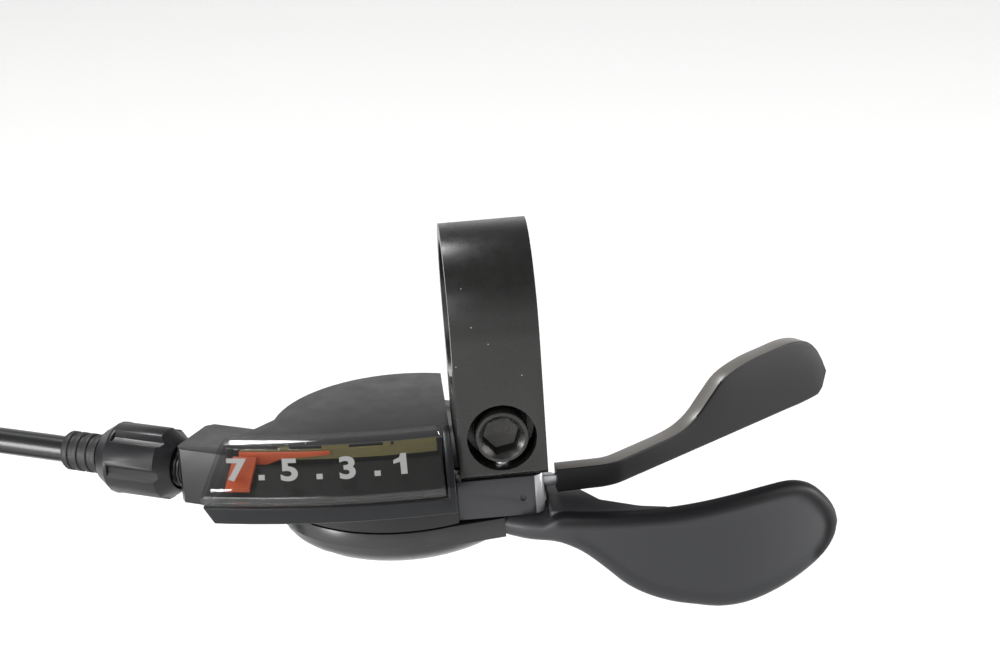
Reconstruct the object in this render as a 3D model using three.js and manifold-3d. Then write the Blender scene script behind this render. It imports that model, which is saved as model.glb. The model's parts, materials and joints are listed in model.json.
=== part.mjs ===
// Right-hand seven-speed thumb shifter for a bicycle: a band clamp, a ratcheting cable winder
// with a thumb lever and a release trigger, a gear display and a cable with its casing.
// Units are millimetres. The origin is the centre of the clamp bore: +X runs along the
// handlebar towards the grip, +Y points away from the rider and +Z is up.
import * as THREE from 'three';
import { mergeVertices } from 'three/addons/utils/BufferGeometryUtils.js';
import Module from 'manifold-3d';

const wasm = await Module();
wasm.setup();

// ---------------------------------------------------------------- driving dimensions
const GAP = 0.3; // clearance left between neighbouring solids

// clamp on a 22.2 mm handlebar
const BAR_RADIUS = 11.1;
const CLAMP_HALF_WIDTH = 6.2;
const CLAMP_RADIUS = 13.3;
const CLAMP_FRONT_Y = -13.3;
const CLAMP_BOTTOM_Z = -20.1;
const BOLT_Z = -14.0;
const BOLT_RADIUS = 2.5;
const BOLT_HEAD_RADIUS = 3.8;
const BOLT_SOCKET = 5.0; // across the flats
const COUNTERBORE_RADIUS = 4.95;
const COUNTERBORE_DEPTH = 5.2;
const RIVET_Y = [-9.6, -2.4]; // the two rivets that hold the clamp to the base plate

// mechanism axis and the height of each layer, top and bottom
const AXIS_X = -14;
const AXIS_Y = 4.2;
const COVER_RADIUS = 18.8;
const COVER_WALL = 1.5;
const COVER_TOP_Z = -17.0;
const COVER_SPLIT_Z = -26.4;
const DOME_HEIGHT = 8.4;
const WALL_DEPTH = 2.2; // the dome's upright rim
const PLATE_Z = [-20.4, -22.0];
const DRUM_Z = [-22.3, -25.5];
const RATCHET_Z = [-25.8, -27.0];
const LEVER_Z = [-27.3, -28.8];
const RELEASE_Z = [-22.3, -23.8];
const AXLE_RADIUS = 2.5;

// cable winder: 22 teeth, six clicks, 2.93 mm of cable for each click
const WINDER_RADIUS = 10.27;
const DRUM_RADIUS = 11.6;
const RATCHET_TEETH = 22;
const RATCHET_TIP_RADIUS = 12.4;
const RATCHET_ROOT_RADIUS = 11.1;
const PAWL_RING_RADIUS = 14.7;

// cable line: level, 30 degrees forward of the handlebar, tangent to the winder
const CABLE_Z = -23.9;
const CABLE_ANGLE = THREE.MathUtils.degToRad(150);
const WIRE_RADIUS = 0.6;
const CASING_RADIUS = 2.0;
const BOSS_END = 29.5; // distances along the cable line from the winder
const KNOB_START = 31.5;
const KNOB_END = 43.3;
const BOOT_START = 44.9;
const BOOT_END = 51.6;
const CASING_START = 40.4;

// gear display: a band bent around a far centre
const POD_CENTRE = [-13.5, 75];
const POD_REAR_RADIUS = 86.0;
const POD_FRONT_RADIUS = 95.6;
const POD_BOTTOM_Z = -21.7;
const POD_RIGHT_X = -7.2;

// thumb paddle: a curved plate bent around a centre in front of the bar
const PADDLE_CENTRE = [20.5, 24.3];
const PADDLE_RADIUS = 43.2;
const PADDLE_THICKNESS = 2.9;
const PADDLE_TOP_Z = -25.1;

// casing: 1.6 m long in all, wound into a ring that hangs from the lead
const RING_CENTRE = [-116.5, 32.7, -59.9];
const RING_INNER_RADIUS = 15.6;
const RING_OUTER_RADIUS = 32.1;
const RING_MID_RADIUS = 30; // centre line of the outermost turn
const RING_HALF_WIDTH = 6.2;

// ---------------------------------------------------------------- materials
function finish(colour, roughness, metalness) {
  return new THREE.MeshStandardMaterial({ color: colour, roughness, metalness });
}
const blackPaint = finish(0x242424, 0.45, 0.2);
const blackPlastic = finish(0x2a2b2d, 0.5, 0);
const glossPlastic = finish(0x17181a, 0.15, 0);
const leverPlastic = finish(0x35363a, 0.55, 0);
const zincSteel = finish(0xb9bcc0, 0.35, 0.9);
const darkSteel = finish(0x4a4c50, 0.4, 0.8);
const springSteel = finish(0x8c8f94, 0.3, 0.9);
const acetal = finish(0xd8d6cc, 0.5, 0);
const orange = finish(0xe2663a, 0.45, 0);
const amber = finish(0x9c8f45, 0.3, 0);
const smoke = finish(0x3a3b3a, 0.08, 0);
const brass = finish(0xb08d4a, 0.35, 0.9);
const rubber = finish(0x202122, 0.8, 0);

// ---------------------------------------------------------------- solid helpers
function solid(geometry) {
  let plain = geometry.index ? geometry.toNonIndexed() : geometry;
  plain = plain.clone();
  plain.deleteAttribute('normal');
  plain.deleteAttribute('uv');
  const merged = mergeVertices(plain, 1e-4);
  const mesh = new wasm.Mesh({
    numProp: 3,
    vertProperties: new Float32Array(merged.attributes.position.array),
    triVerts: new Uint32Array(merged.index.array),
  });
  return new wasm.Manifold(mesh);
}

function geometryOf(body) {
  const mesh = body.getMesh();
  const geometry = new THREE.BufferGeometry();
  geometry.setAttribute('position', new THREE.BufferAttribute(new Float32Array(mesh.vertProperties), 3));
  geometry.setIndex(new THREE.BufferAttribute(new Uint32Array(mesh.triVerts), 1));
  geometry.computeVertexNormals();
  return geometry;
}

function outline(points) {
  return new THREE.Shape(points.map(([x, y]) => new THREE.Vector2(x, y)));
}

function circleShape(x, y, radius) {
  const shape = new THREE.Shape();
  shape.absarc(x, y, radius, 0, Math.PI * 2, false);
  return shape;
}

// a flat shape given in X and Y, between two heights
function plate(shape, zA, zB, curveSegments = 24) {
  const low = Math.min(zA, zB);
  const geometry = new THREE.ExtrudeGeometry(shape, {
    depth: Math.abs(zA - zB), bevelEnabled: false, curveSegments,
  });
  geometry.translate(0, 0, low);
  return solid(geometry);
}

// a flat shape given in Y and Z, between two X positions
function sidePlate(shape, xA, xB, curveSegments = 24) {
  const geometry = new THREE.ExtrudeGeometry(shape, {
    depth: xB - xA, bevelEnabled: false, curveSegments,
  });
  const axes = new THREE.Matrix4().makeBasis(
    new THREE.Vector3(0, 1, 0), new THREE.Vector3(0, 0, 1), new THREE.Vector3(1, 0, 0));
  geometry.applyMatrix4(axes);
  geometry.translate(xA, 0, 0);
  return solid(geometry);
}

// a flat shape given in X and Z, between two Y positions
function frontPlate(shape, yA, yB, curveSegments = 24) {
  const geometry = new THREE.ExtrudeGeometry(shape, {
    depth: yB - yA, bevelEnabled: false, curveSegments,
  });
  const axes = new THREE.Matrix4().makeBasis(
    new THREE.Vector3(1, 0, 0), new THREE.Vector3(0, 0, 1), new THREE.Vector3(0, -1, 0));
  geometry.applyMatrix4(axes);
  geometry.translate(0, yB, 0);
  return solid(geometry);
}

function box(x0, x1, y0, y1, z0, z1) {
  const geometry = new THREE.BoxGeometry(x1 - x0, y1 - y0, z1 - z0);
  geometry.translate((x0 + x1) / 2, (y0 + y1) / 2, (z0 + z1) / 2);
  return solid(geometry);
}

// a round bar between two points
function bar(from, to, radius, segments = 20, endRadius = radius) {
  const start = new THREE.Vector3(...from);
  const end = new THREE.Vector3(...to);
  const along = end.clone().sub(start);
  const geometry = new THREE.CylinderGeometry(endRadius, radius, along.length(), segments);
  const turn = new THREE.Quaternion().setFromUnitVectors(
    new THREE.Vector3(0, 1, 0), along.clone().normalize());
  geometry.applyQuaternion(turn);
  geometry.translate(...start.add(end).multiplyScalar(0.5).toArray());
  return solid(geometry);
}

function post(x, y, zA, zB, radius, segments = 20) {
  return bar([x, y, zA], [x, y, zB], radius, segments);
}

// the points of a closed profile, anticlockwise and back at the first one
function closedProfile(profile) {
  const points = profile.map(([r, z]) => new THREE.Vector2(r, z));
  if (THREE.ShapeUtils.area(points) < 0) points.reverse();
  return [...points, points[0]];
}

// a closed profile of [radius, height] points turned about Z at x, y
function turned(profile, x = 0, y = 0, segments = 48) {
  const closed = closedProfile(profile);
  const geometry = new THREE.LatheGeometry(closed, segments);
  geometry.rotateX(Math.PI / 2);
  geometry.translate(x, y, 0);
  return solid(geometry);
}

// a round wire swept along a list of points
function wire(points, radius, steps, sides = 8) {
  const section = new THREE.Shape();
  for (let i = 0; i < sides; i += 1) {
    const angle = (i / sides) * Math.PI * 2;
    const point = [radius * Math.cos(angle), radius * Math.sin(angle)];
    if (i === 0) section.moveTo(...point);
    else section.lineTo(...point);
  }
  section.closePath();
  const path = new THREE.CatmullRomCurve3(points.map((p) => new THREE.Vector3(...p)), false, 'centripetal');
  return solid(new THREE.ExtrudeGeometry(section, { steps, bevelEnabled: false, extrudePath: path }));
}

// a coil spring about a vertical axis
function coilSpring(x, y, zLow, zHigh, radius, wireRadius, turns) {
  const points = [];
  const steps = Math.round(turns * 12);
  for (let i = 0; i <= steps; i += 1) {
    const angle = (i / 12) * Math.PI * 2;
    const height = zLow + wireRadius + (zHigh - zLow - 2 * wireRadius) * (i / steps);
    points.push([x + radius * Math.cos(angle), y + radius * Math.sin(angle), height]);
  }
  return wire(points, wireRadius, steps, 6);
}

function joined(...bodies) {
  return bodies.reduce((whole, body) => whole.add(body));
}

function without(body, ...cuts) {
  return cuts.reduce((rest, cut) => rest.subtract(cut), body);
}

const shifter = new THREE.Group();
function addPiece(name, body, material, parent = shifter) {
  const mesh = new THREE.Mesh(geometryOf(body), material);
  mesh.name = name;
  parent.add(mesh);
  return mesh;
}

// a point at a radius and an angle from the mechanism axis
function polar(radius, degrees) {
  const angle = THREE.MathUtils.degToRad(degrees);
  return [AXIS_X + radius * Math.cos(angle), AXIS_Y + radius * Math.sin(angle)];
}

// ---------------------------------------------------------------- cable line
const CABLE_DIRECTION = [Math.cos(CABLE_ANGLE), Math.sin(CABLE_ANGLE)];
const CABLE_ORIGIN = polar(WINDER_RADIUS, 240);
// a point at a distance along the cable line, moved aside and up from it
function onCable(along, aside = 0, up = 0) {
  const [dx, dy] = CABLE_DIRECTION;
  return [
    CABLE_ORIGIN[0] + dx * along + dy * aside,
    CABLE_ORIGIN[1] + dy * along - dx * aside,
    CABLE_Z + up,
  ];
}
function cableBar(from, to, radius, segments = 20, endRadius = radius) {
  return bar(onCable(from), onCable(to), radius, segments, endRadius);
}

// ---------------------------------------------------------------- clamp
function clampBand() {
  const edge = 0.7;
  const splitFront = 1.4;
  const splitRear = 3.4;
  const earRearY = 11.2;
  const boreZ = (y) => -Math.sqrt(BAR_RADIUS ** 2 - y ** 2);
  const shape = new THREE.Shape();
  shape.moveTo(splitFront, CLAMP_BOTTOM_Z);
  shape.lineTo(CLAMP_FRONT_Y + edge, CLAMP_BOTTOM_Z);
  shape.lineTo(CLAMP_FRONT_Y, CLAMP_BOTTOM_Z + edge);
  shape.lineTo(CLAMP_FRONT_Y, 0);
  shape.absarc(0, 0, CLAMP_RADIUS, Math.PI, -Math.acos(earRearY / CLAMP_RADIUS), true);
  shape.lineTo(earRearY, CLAMP_BOTTOM_Z + 2 * edge);
  shape.lineTo(earRearY - 2 * edge, CLAMP_BOTTOM_Z);
  shape.lineTo(splitRear, CLAMP_BOTTOM_Z);
  shape.lineTo(splitRear, boreZ(splitRear));
  const rearAngle = Math.atan2(boreZ(splitRear), splitRear);
  const frontAngle = Math.atan2(boreZ(splitFront), splitFront);
  shape.absarc(0, 0, BAR_RADIUS, rearAngle, frontAngle + 2 * Math.PI, false);
  shape.closePath();
  const nutHalf = 4.1;
  return without(
    sidePlate(shape, -CLAMP_HALF_WIDTH, CLAMP_HALF_WIDTH, 40),
    bar([0, CLAMP_FRONT_Y - 1, BOLT_Z], [0, CLAMP_FRONT_Y + COUNTERBORE_DEPTH, BOLT_Z],
      COUNTERBORE_RADIUS, 40),
    bar([0, CLAMP_FRONT_Y, BOLT_Z], [0, 13, BOLT_Z], BOLT_RADIUS + GAP, 24),
    box(-nutHalf, nutHalf, 8, 12, BOLT_Z - nutHalf, BOLT_Z + nutHalf),
    post(0, RIVET_Y[0], CLAMP_BOTTOM_Z - 1, -18.2, 1.8),
    post(0, RIVET_Y[1], CLAMP_BOTTOM_Z - 1, -18.2, 1.8),
  );
}

function clampBolt() {
  const headFront = CLAMP_FRONT_Y + 0.1;
  const headRear = CLAMP_FRONT_Y + COUNTERBORE_DEPTH - GAP;
  const socket = new THREE.Shape();
  const corner = BOLT_SOCKET / Math.sqrt(3);
  for (let i = 0; i < 6; i += 1) {
    const angle = THREE.MathUtils.degToRad(11 + 90 + 60 * i);
    const point = [corner * Math.cos(angle), BOLT_Z + corner * Math.sin(angle)];
    if (i === 0) socket.moveTo(...point);
    else socket.lineTo(...point);
  }
  socket.closePath();
  return without(
    joined(
      bar([0, headFront, BOLT_Z], [0, headRear, BOLT_Z], BOLT_HEAD_RADIUS, 40),
      bar([0, headRear - 0.5, BOLT_Z], [0, 12, BOLT_Z], BOLT_RADIUS, 24),
    ),
    frontPlate(socket, headFront - 1, headFront + 3.2),
  );
}

function clampNut() {
  const half = 3.8;
  return without(
    box(-half, half, 8 + GAP, 11.2, BOLT_Z - half, BOLT_Z + half),
    bar([0, 7, BOLT_Z], [0, 12.5, BOLT_Z], BOLT_RADIUS + GAP, 24),
  );
}

// ---------------------------------------------------------------- base plate and its rivets
const PLATE_RADIUS = 16.6;
const SCREW_ANGLES = [30, 150, 228];
const SCREW_RING_RADIUS = 15.0;
const RELEASE_PIN = [1.5, -5.2];
const HOLD_PIN = [-6.8, -8.6];
const PLATE_FRONT_Y = -12.8;
const FLANGE_RIGHT_X = 5.6;
const FLANGE_BOTTOM_Z = -26.2;
const SHEET = 1.5;

function basePlate() {
  const wing = outline([[AXIS_X, PLATE_FRONT_Y], [FLANGE_RIGHT_X - 1.9, PLATE_FRONT_Y],
    [FLANGE_RIGHT_X, PLATE_FRONT_Y + 1.9], [FLANGE_RIGHT_X, 8], [AXIS_X, 8]]);
  const flange = new THREE.Shape();
  flange.moveTo(-6.9, PLATE_FRONT_Y);
  flange.lineTo(FLANGE_RIGHT_X - 1.9, PLATE_FRONT_Y);
  flange.absarc(FLANGE_RIGHT_X - 1.9, PLATE_FRONT_Y + 1.9, 1.9, -Math.PI / 2, 0, false);
  flange.lineTo(FLANGE_RIGHT_X, PLATE_FRONT_Y + 2.4);
  flange.lineTo(FLANGE_RIGHT_X - SHEET, PLATE_FRONT_Y + 2.4);
  flange.lineTo(FLANGE_RIGHT_X - SHEET, PLATE_FRONT_Y + SHEET);
  flange.lineTo(-6.9, PLATE_FRONT_Y + SHEET);
  flange.closePath();
  const sheetMetal = joined(
    plate(circleShape(AXIS_X, AXIS_Y, PLATE_RADIUS), ...PLATE_Z, 28),
    plate(wing, ...PLATE_Z),
    plate(flange, PLATE_Z[0], FLANGE_BOTTOM_Z, 6),
  );
  const screwHoles = SCREW_ANGLES.map((angle) => post(...polar(SCREW_RING_RADIUS, angle), -19, -23, 2.4));
  return without(
    sheetMetal,
    box(-40, POD_RIGHT_X + GAP, -20, -9.9, -23, -19),
    post(AXIS_X, AXIS_Y, -19, -23, AXLE_RADIUS + GAP),
    post(...RELEASE_PIN, -19, -23, 1.8),
    post(...HOLD_PIN, -19, -23, 1.5),
    post(0, RIVET_Y[0], -19, -23, 1.8),
    post(0, RIVET_Y[1], -19, -23, 1.8),
    bar([2.4, PLATE_FRONT_Y - 1, -23.6], [2.4, PLATE_FRONT_Y + 0.4, -23.6], 0.5, 10),
    ...screwHoles,
  );
}

function plateRivet(y) {
  return post(0, y, -18.5, PLATE_Z[1], 1.5, 16);
}

// ---------------------------------------------------------------- covers
function podEnvelope(margin) {
  const front = POD_FRONT_RADIUS + margin;
  const rear = POD_REAR_RADIUS - margin;
  const ring = [[rear, POD_BOTTOM_Z - margin], [front, POD_BOTTOM_Z - margin], [front, -8], [rear, -8]];
  const reach = box(-50, POD_RIGHT_X + margin, -30, 0, -30, 0);
  return turned(ring, ...POD_CENTRE, 160).intersect(reach);
}

function upperCover() {
  const shoulder = outline([[-20, -9.5], [-38.4, -8.3], [-37.4, 3.5], [-31.5, 9.5], [-20, 14]]);
  const bossHalf = 5;
  const boss = plate(outline([
    onCable(10, -bossHalf), onCable(BOSS_END - 1, -bossHalf), onCable(BOSS_END, -bossHalf + 1),
    onCable(BOSS_END, bossHalf - 1), onCable(BOSS_END - 1, bossHalf), onCable(10, bossHalf),
  ]), CABLE_Z - 3.5, CABLE_Z + bossHalf);
  const skin = joined(
    plate(circleShape(AXIS_X, AXIS_Y, COVER_RADIUS), COVER_TOP_Z, COVER_SPLIT_Z, 36),
    plate(shoulder, COVER_TOP_Z, -24.4),
    boss,
  );
  const inside = COVER_RADIUS - COVER_WALL;
  const shell = without(
    skin,
    plate(circleShape(AXIS_X, AXIS_Y, inside), COVER_TOP_Z - 1.2, -30, 36),
    cableBar(18.5, BOSS_END + 1, 2.75, 20),
    cableBar(5, 25, 1.0, 12),
  );
  const posts = SCREW_ANGLES.map((angle) => {
    const [x, y] = polar(SCREW_RING_RADIUS, angle);
    return post(x, y, COVER_TOP_Z - 1, COVER_SPLIT_Z, 2.0, 16);
  });
  const webs = SCREW_ANGLES.map((angle) => {
    const a = polar(SCREW_RING_RADIUS, angle - 5);
    const b = polar(COVER_RADIUS - 0.6, angle - 4);
    const c = polar(COVER_RADIUS - 0.6, angle + 4);
    const e = polar(SCREW_RING_RADIUS, angle + 5);
    return plate(outline([a, b, c, e]), PLATE_Z[1] - GAP, COVER_SPLIT_Z);
  });
  const screwHoles = SCREW_ANGLES.map((angle) => post(...polar(SCREW_RING_RADIUS, angle), -20.5, -30, 1.3, 12));
  return without(
    joined(shell, ...posts, ...webs),
    box(-CLAMP_HALF_WIDTH - 0.7, 12, -25, 30, PLATE_Z[1] - GAP, 0),
    box(-CLAMP_HALF_WIDTH - 0.7, 12, -25, 8, -30, 0),
    post(AXIS_X, AXIS_Y, COVER_SPLIT_Z, -30, COVER_RADIUS + GAP, 56),
    podEnvelope(GAP),
    ...screwHoles,
  );
}

function lowerCover() {
  const rimZ = COVER_SPLIT_Z - GAP;
  const inside = COVER_RADIUS - COVER_WALL;
  const shoulderZ = rimZ - WALL_DEPTH;
  const bottomZ = rimZ - DOME_HEIGHT;
  const domeArc = (radius, startZ, endZ) => {
    const steps = 10;
    const points = [];
    for (let i = 0; i <= steps; i += 1) {
      const angle = (i / steps) * (Math.PI / 2);
      const r = i === steps ? 0 : radius * Math.cos(angle);
      points.push([r, startZ - (startZ - endZ) * Math.sin(angle)]);
    }
    return points;
  };
  const outer = [[COVER_RADIUS, rimZ], [COVER_RADIUS, shoulderZ],
    ...domeArc(COVER_RADIUS - 0.5, shoulderZ - 0.3, bottomZ)];
  const inner = [[inside, rimZ], ...domeArc(inside, shoulderZ + 0.6, bottomZ + 1.4)];
  const shell = turned([...outer, ...inner.reverse()], AXIS_X, AXIS_Y, 56);
  // the wall runs on straight to meet the thumb lever's sleeve
  const chin = without(
    plate(outline([[-9.5, -13.9], [-4.4, -13.0], [-0.35, -12.3], [-0.35, -8.5], [-9.5, -8.5]]), rimZ, -29.6),
    post(AXIS_X, AXIS_Y, rimZ + 1, -31, inside + 0.2, 56),
  );
  const bosses = SCREW_ANGLES.map((angle) => post(...polar(SCREW_RING_RADIUS, angle), rimZ, -31.2, 2.35, 16));
  const bowl = joined(shell, chin, ...bosses.map((boss) => boss.intersect(
    turned([[0, rimZ], [0, rimZ - DOME_HEIGHT], [COVER_RADIUS * 0.4, rimZ - DOME_HEIGHT * 0.9],
      [COVER_RADIUS * 0.77, rimZ - DOME_HEIGHT * 0.62], [COVER_RADIUS * 0.97, rimZ - DOME_HEIGHT * 0.2],
      [COVER_RADIUS - 0.3, rimZ]], AXIS_X, AXIS_Y, 56))));
  const window = outline([
    polar(8, -44.5), polar(40, -44.5), polar(45, -17), polar(40, 14), polar(8, 14),
  ]);
  const heads = SCREW_ANGLES.map((angle) => post(...polar(SCREW_RING_RADIUS, angle), -28.9, -36, 2.05, 16));
  const holes = SCREW_ANGLES.map((angle) => post(...polar(SCREW_RING_RADIUS, angle), -26, -36, 1.3, 12));
  return without(bowl, plate(window, rimZ + 1, -30.4), ...heads, ...holes);
}

function coverScrew(angle) {
  const [x, y] = polar(SCREW_RING_RADIUS, angle);
  return without(
    joined(post(x, y, -29.2, -30.3, 1.75, 16), post(x, y, -20.8, -29.5, 1.0, 10)),
    box(x - 1.3, x + 1.3, y - 0.25, y + 0.25, -31, -29.9),
    box(x - 0.25, x + 0.25, y - 1.3, y + 1.3, -31, -29.9),
  );
}

// ---------------------------------------------------------------- axle and winder
function mainAxle() {
  return joined(
    post(AXIS_X, AXIS_Y, -19.1, PLATE_Z[0] + GAP, 3.6, 28),
    post(AXIS_X, AXIS_Y, -19.5, -32.9, AXLE_RADIUS, 24),
  );
}

function axleNut() {
  const shape = new THREE.Shape();
  const corner = 4.0 / Math.cos(Math.PI / 6);
  for (let i = 0; i < 6; i += 1) {
    const angle = (i / 6) * Math.PI * 2;
    const point = [AXIS_X + corner * Math.cos(angle), AXIS_Y + corner * Math.sin(angle)];
    if (i === 0) shape.moveTo(...point);
    else shape.lineTo(...point);
  }
  shape.closePath();
  return without(plate(shape, -31.1, -32.8), post(AXIS_X, AXIS_Y, -30, -34, AXLE_RADIUS + GAP, 24));
}

function washer(zA, zB, radius) {
  return without(
    post(AXIS_X, AXIS_Y, zA, zB, radius, 28),
    post(AXIS_X, AXIS_Y, zA + 1, zB - 1, AXLE_RADIUS + GAP, 24),
  );
}

function winderDrum() {
  const [top, bottom] = DRUM_Z;
  const grooveHalf = 0.8;
  const profile = [
    [AXLE_RADIUS + GAP, bottom], [DRUM_RADIUS, bottom], [DRUM_RADIUS, CABLE_Z - grooveHalf],
    [9.5, CABLE_Z - grooveHalf], [9.5, CABLE_Z + grooveHalf], [DRUM_RADIUS, CABLE_Z + grooveHalf],
    [DRUM_RADIUS, top], [6.6, top], [6.6, top - 1.9], [4.0, top - 1.9], [4.0, top],
    [AXLE_RADIUS + GAP, top],
  ];
  const drum = turned(profile, AXIS_X, AXIS_Y, 56);
  const pocketEnd = -4.1;
  const pocket = plate(outline([
    onCable(0.1, 1.85), onCable(pocketEnd, 1.85), onCable(pocketEnd, -4), onCable(0.1, -4),
  ]), top + 1, bottom - 1);
  const stud = post(...polar(8.4, 60), top + 1, bottom - 1, 1.3, 12);
  const secondStud = post(...polar(8.4, 160), top + 1, bottom - 1, 1.3, 12);
  return without(drum, pocket, stud, secondStud);
}

function ratchetPlate() {
  const pitch = (Math.PI * 2) / RATCHET_TEETH;
  const shape = new THREE.Shape();
  for (let i = 0; i < RATCHET_TEETH; i += 1) {
    const angle = THREE.MathUtils.degToRad(85) + i * pitch;
    const points = [[RATCHET_ROOT_RADIUS, angle - pitch * 0.22], [RATCHET_ROOT_RADIUS, angle + pitch * 0.22],
      [RATCHET_TIP_RADIUS, angle + pitch * 0.36], [RATCHET_TIP_RADIUS, angle + pitch * 0.64]];
    points.forEach(([r, a], j) => {
      const point = [AXIS_X + r * Math.cos(a), AXIS_Y + r * Math.sin(a)];
      if (i === 0 && j === 0) shape.moveTo(...point);
      else shape.lineTo(...point);
    });
  }
  shape.closePath();
  const disc = without(plate(shape, ...RATCHET_Z), post(AXIS_X, AXIS_Y, -25, -28, AXLE_RADIUS + GAP));
  const studs = [60, 160].map((angle) => post(...polar(8.4, angle), -23.4, -26.2, 1.0, 12));
  return joined(disc, ...studs);
}

function wireNipple() {
  return without(cableBar(-0.2, -3.8, 1.5, 16), cableBar(0, -2, 0.35, 8));
}

// ---------------------------------------------------------------- thumb lever
const FEED_PIN = polar(14.4, 55);

function thumbLeverPlate() {
  const arm = outline([polar(6, 20), polar(6, 95), [FEED_PIN[0] - 1.3, FEED_PIN[1] + 0.6],
    [FEED_PIN[0] + 1.2, FEED_PIN[1] - 0.8]]);
  const tongue = outline([polar(6, -70), polar(17.3, -40.5), [8.0, -14.4], [10.5, -14.4], [8.0, -10.2],
    polar(17.3, -30), polar(6.4, 5)]);
  return without(
    joined(
      plate(circleShape(AXIS_X, AXIS_Y, 7), ...LEVER_Z, 24),
      plate(circleShape(...FEED_PIN, 1.5), ...LEVER_Z, 12),
      plate(arm, ...LEVER_Z),
      plate(tongue, ...LEVER_Z),
    ),
    post(AXIS_X, AXIS_Y, -27, -29, AXLE_RADIUS + GAP, 24),
    post(...FEED_PIN, -27, -29, 1.15, 12),
  );
}

// the paddle as seen from the rider, in X and Z
function paddleOutline() {
  const shape = new THREE.Shape();
  shape.moveTo(6.4, PADDLE_TOP_Z);
  shape.lineTo(40, PADDLE_TOP_Z);
  shape.quadraticCurveTo(43.2, PADDLE_TOP_Z - 0.2, 45.2, -27.8);
  shape.quadraticCurveTo(48.6, -31.6, 47.4, -35.6);
  shape.bezierCurveTo(45.2, -38.6, 38.4, -41.0, 33, -41.5);
  shape.bezierCurveTo(28.4, -41.9, 22.0, -39.6, 18, -37.6);
  shape.bezierCurveTo(14.2, -35.6, 12.8, -31.0, 7.7, -29.7);
  shape.lineTo(6.4, -29.4);
  shape.closePath();
  return shape;
}

function thumbPaddle() {
  const [cx, cy] = PADDLE_CENTRE;
  const band = turned([[PADDLE_RADIUS - PADDLE_THICKNESS, -45], [PADDLE_RADIUS, -45],
    [PADDLE_RADIUS, -20], [PADDLE_RADIUS - PADDLE_THICKNESS, -20]], cx, cy, 120);
  const blade = frontPlate(paddleOutline(), -25, 0, 8).intersect(band);
  const neck = outline([[5.95, -16.0], [8.6, -17.1], [15, -18.4], [24.5, -18.2], [18.7, -15.4],
    [12.9, -11.9], [11.7, -10.1], [8.4, -8.3], [5.95, -7.4]]);
  const root = outline([polar(19.2, -43), [0.04, -12.3], [3.2, -14.6], [6.8, -16.2], [8.8, -16.9],
    [9.4, -10], [6.4, -7.6], polar(19.2, -27)]);
  return without(
    joined(
      blade,
      plate(neck, PADDLE_TOP_Z, -29.4),
      plate(root, -26.6, -29.8),
    ),
    plate(outline([polar(17.2, -41.8), [7.75, -14.9], [11.0, -14.9], [8.4, -9.9], polar(17.2, -28.7)]),
      LEVER_Z[0] + GAP, LEVER_Z[1] - GAP),
  );
}

function feedPawl() {
  const [x, y] = FEED_PIN;
  const finger = outline([[x + 0.6, y - 1.45], polar(13.2, 72), polar(12.8, 84), polar(14.0, 86),
    polar(15.6, 72), [x - 0.8, y + 1.4]]);
  return without(
    joined(plate(circleShape(x, y, 1.6), ...RATCHET_Z, 12), plate(finger, ...RATCHET_Z)),
    post(x, y, -25, -28, 1.2, 12),
  );
}

function feedPawlPin() {
  return joined(
    post(...FEED_PIN, -24.3, -29.1, 0.85, 12),
    post(...FEED_PIN, -24.0, -24.6, 1.4, 14),
  );
}

// ---------------------------------------------------------------- release trigger and hold pawl
const TRIGGER_TOP_Z = -20.9;
const TRIGGER_BOTTOM_Z = -24.6;
const TRIGGER_TIP = [51.7, 18.5];
const TRIGGER_BEND = [15.6, -9.5];

function releaseLeverPlate() {
  const [x, y] = RELEASE_PIN;
  const arm = outline([[x - 0.8, y - 3.2], [x + 4, -8.9], [14.4, -8.9], [14.4, -7.9], [7.2, -7.9],
    [x + 4, y - 1.2], [x + 2, y + 2.6]]);
  const finger = outline([[x - 1.6, y - 2.8], [-2.9, -10.4], [-3.7, -9.4], [x - 2.6, y + 1.4]]);
  return without(
    joined(
      plate(circleShape(x, y, 3.2), ...RELEASE_Z, 14),
      plate(arm, ...RELEASE_Z),
      plate(finger, ...RELEASE_Z),
      plate(circleShape(-3.3, -9.8, 0.75), ...RELEASE_Z, 8),
    ),
    post(x, y, -22, -24, 1.8, 16),
  );
}

function releaseTrigger() {
  const width = 2.7;
  const [bx, by] = TRIGGER_BEND;
  const [tx, ty] = TRIGGER_TIP;
  const length = Math.hypot(tx - bx, ty - by);
  const ux = (tx - bx) / length;
  const uy = (ty - by) / length;
  const side = [-uy * width, ux * width];
  const plan = outline([[7.6, -9.9], [bx, by], [tx, ty], [tx + side[0], ty + side[1]],
    [bx - 0.5 + side[0] * 0.6, by + width], [7.6, -6.9]]);
  // height of the blade along X, rising into the finger pad
  const face = new THREE.Shape();
  face.moveTo(7, TRIGGER_BOTTOM_Z);
  face.lineTo(49.4, TRIGGER_BOTTOM_Z);
  face.quadraticCurveTo(51.4, TRIGGER_BOTTOM_Z, 51.5, -22.6);
  face.lineTo(51.3, -18.4);
  face.quadraticCurveTo(50.6, -14.4, 46, -14.0);
  face.lineTo(38, -14.2);
  face.quadraticCurveTo(33.8, -14.6, 31.6, -17.8);
  face.quadraticCurveTo(29.6, TRIGGER_TOP_Z, 26.5, TRIGGER_TOP_Z);
  face.lineTo(7, TRIGGER_TOP_Z);
  face.closePath();
  const blade = plate(plan, -28, -10).intersect(frontPlate(face, -14, 26, 6));
  const pocket = outline([[6, -9.2], [14.7, -9.2], [14.7, -7.6], [6, -7.6]]);
  return without(blade, plate(pocket, RELEASE_Z[0] + GAP, RELEASE_Z[1] - GAP));
}

function releasePin() {
  return joined(post(...RELEASE_PIN, -20.5, -25.7, 1.45, 16), post(...RELEASE_PIN, -25.3, -26.0, 2.2, 16));
}

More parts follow.
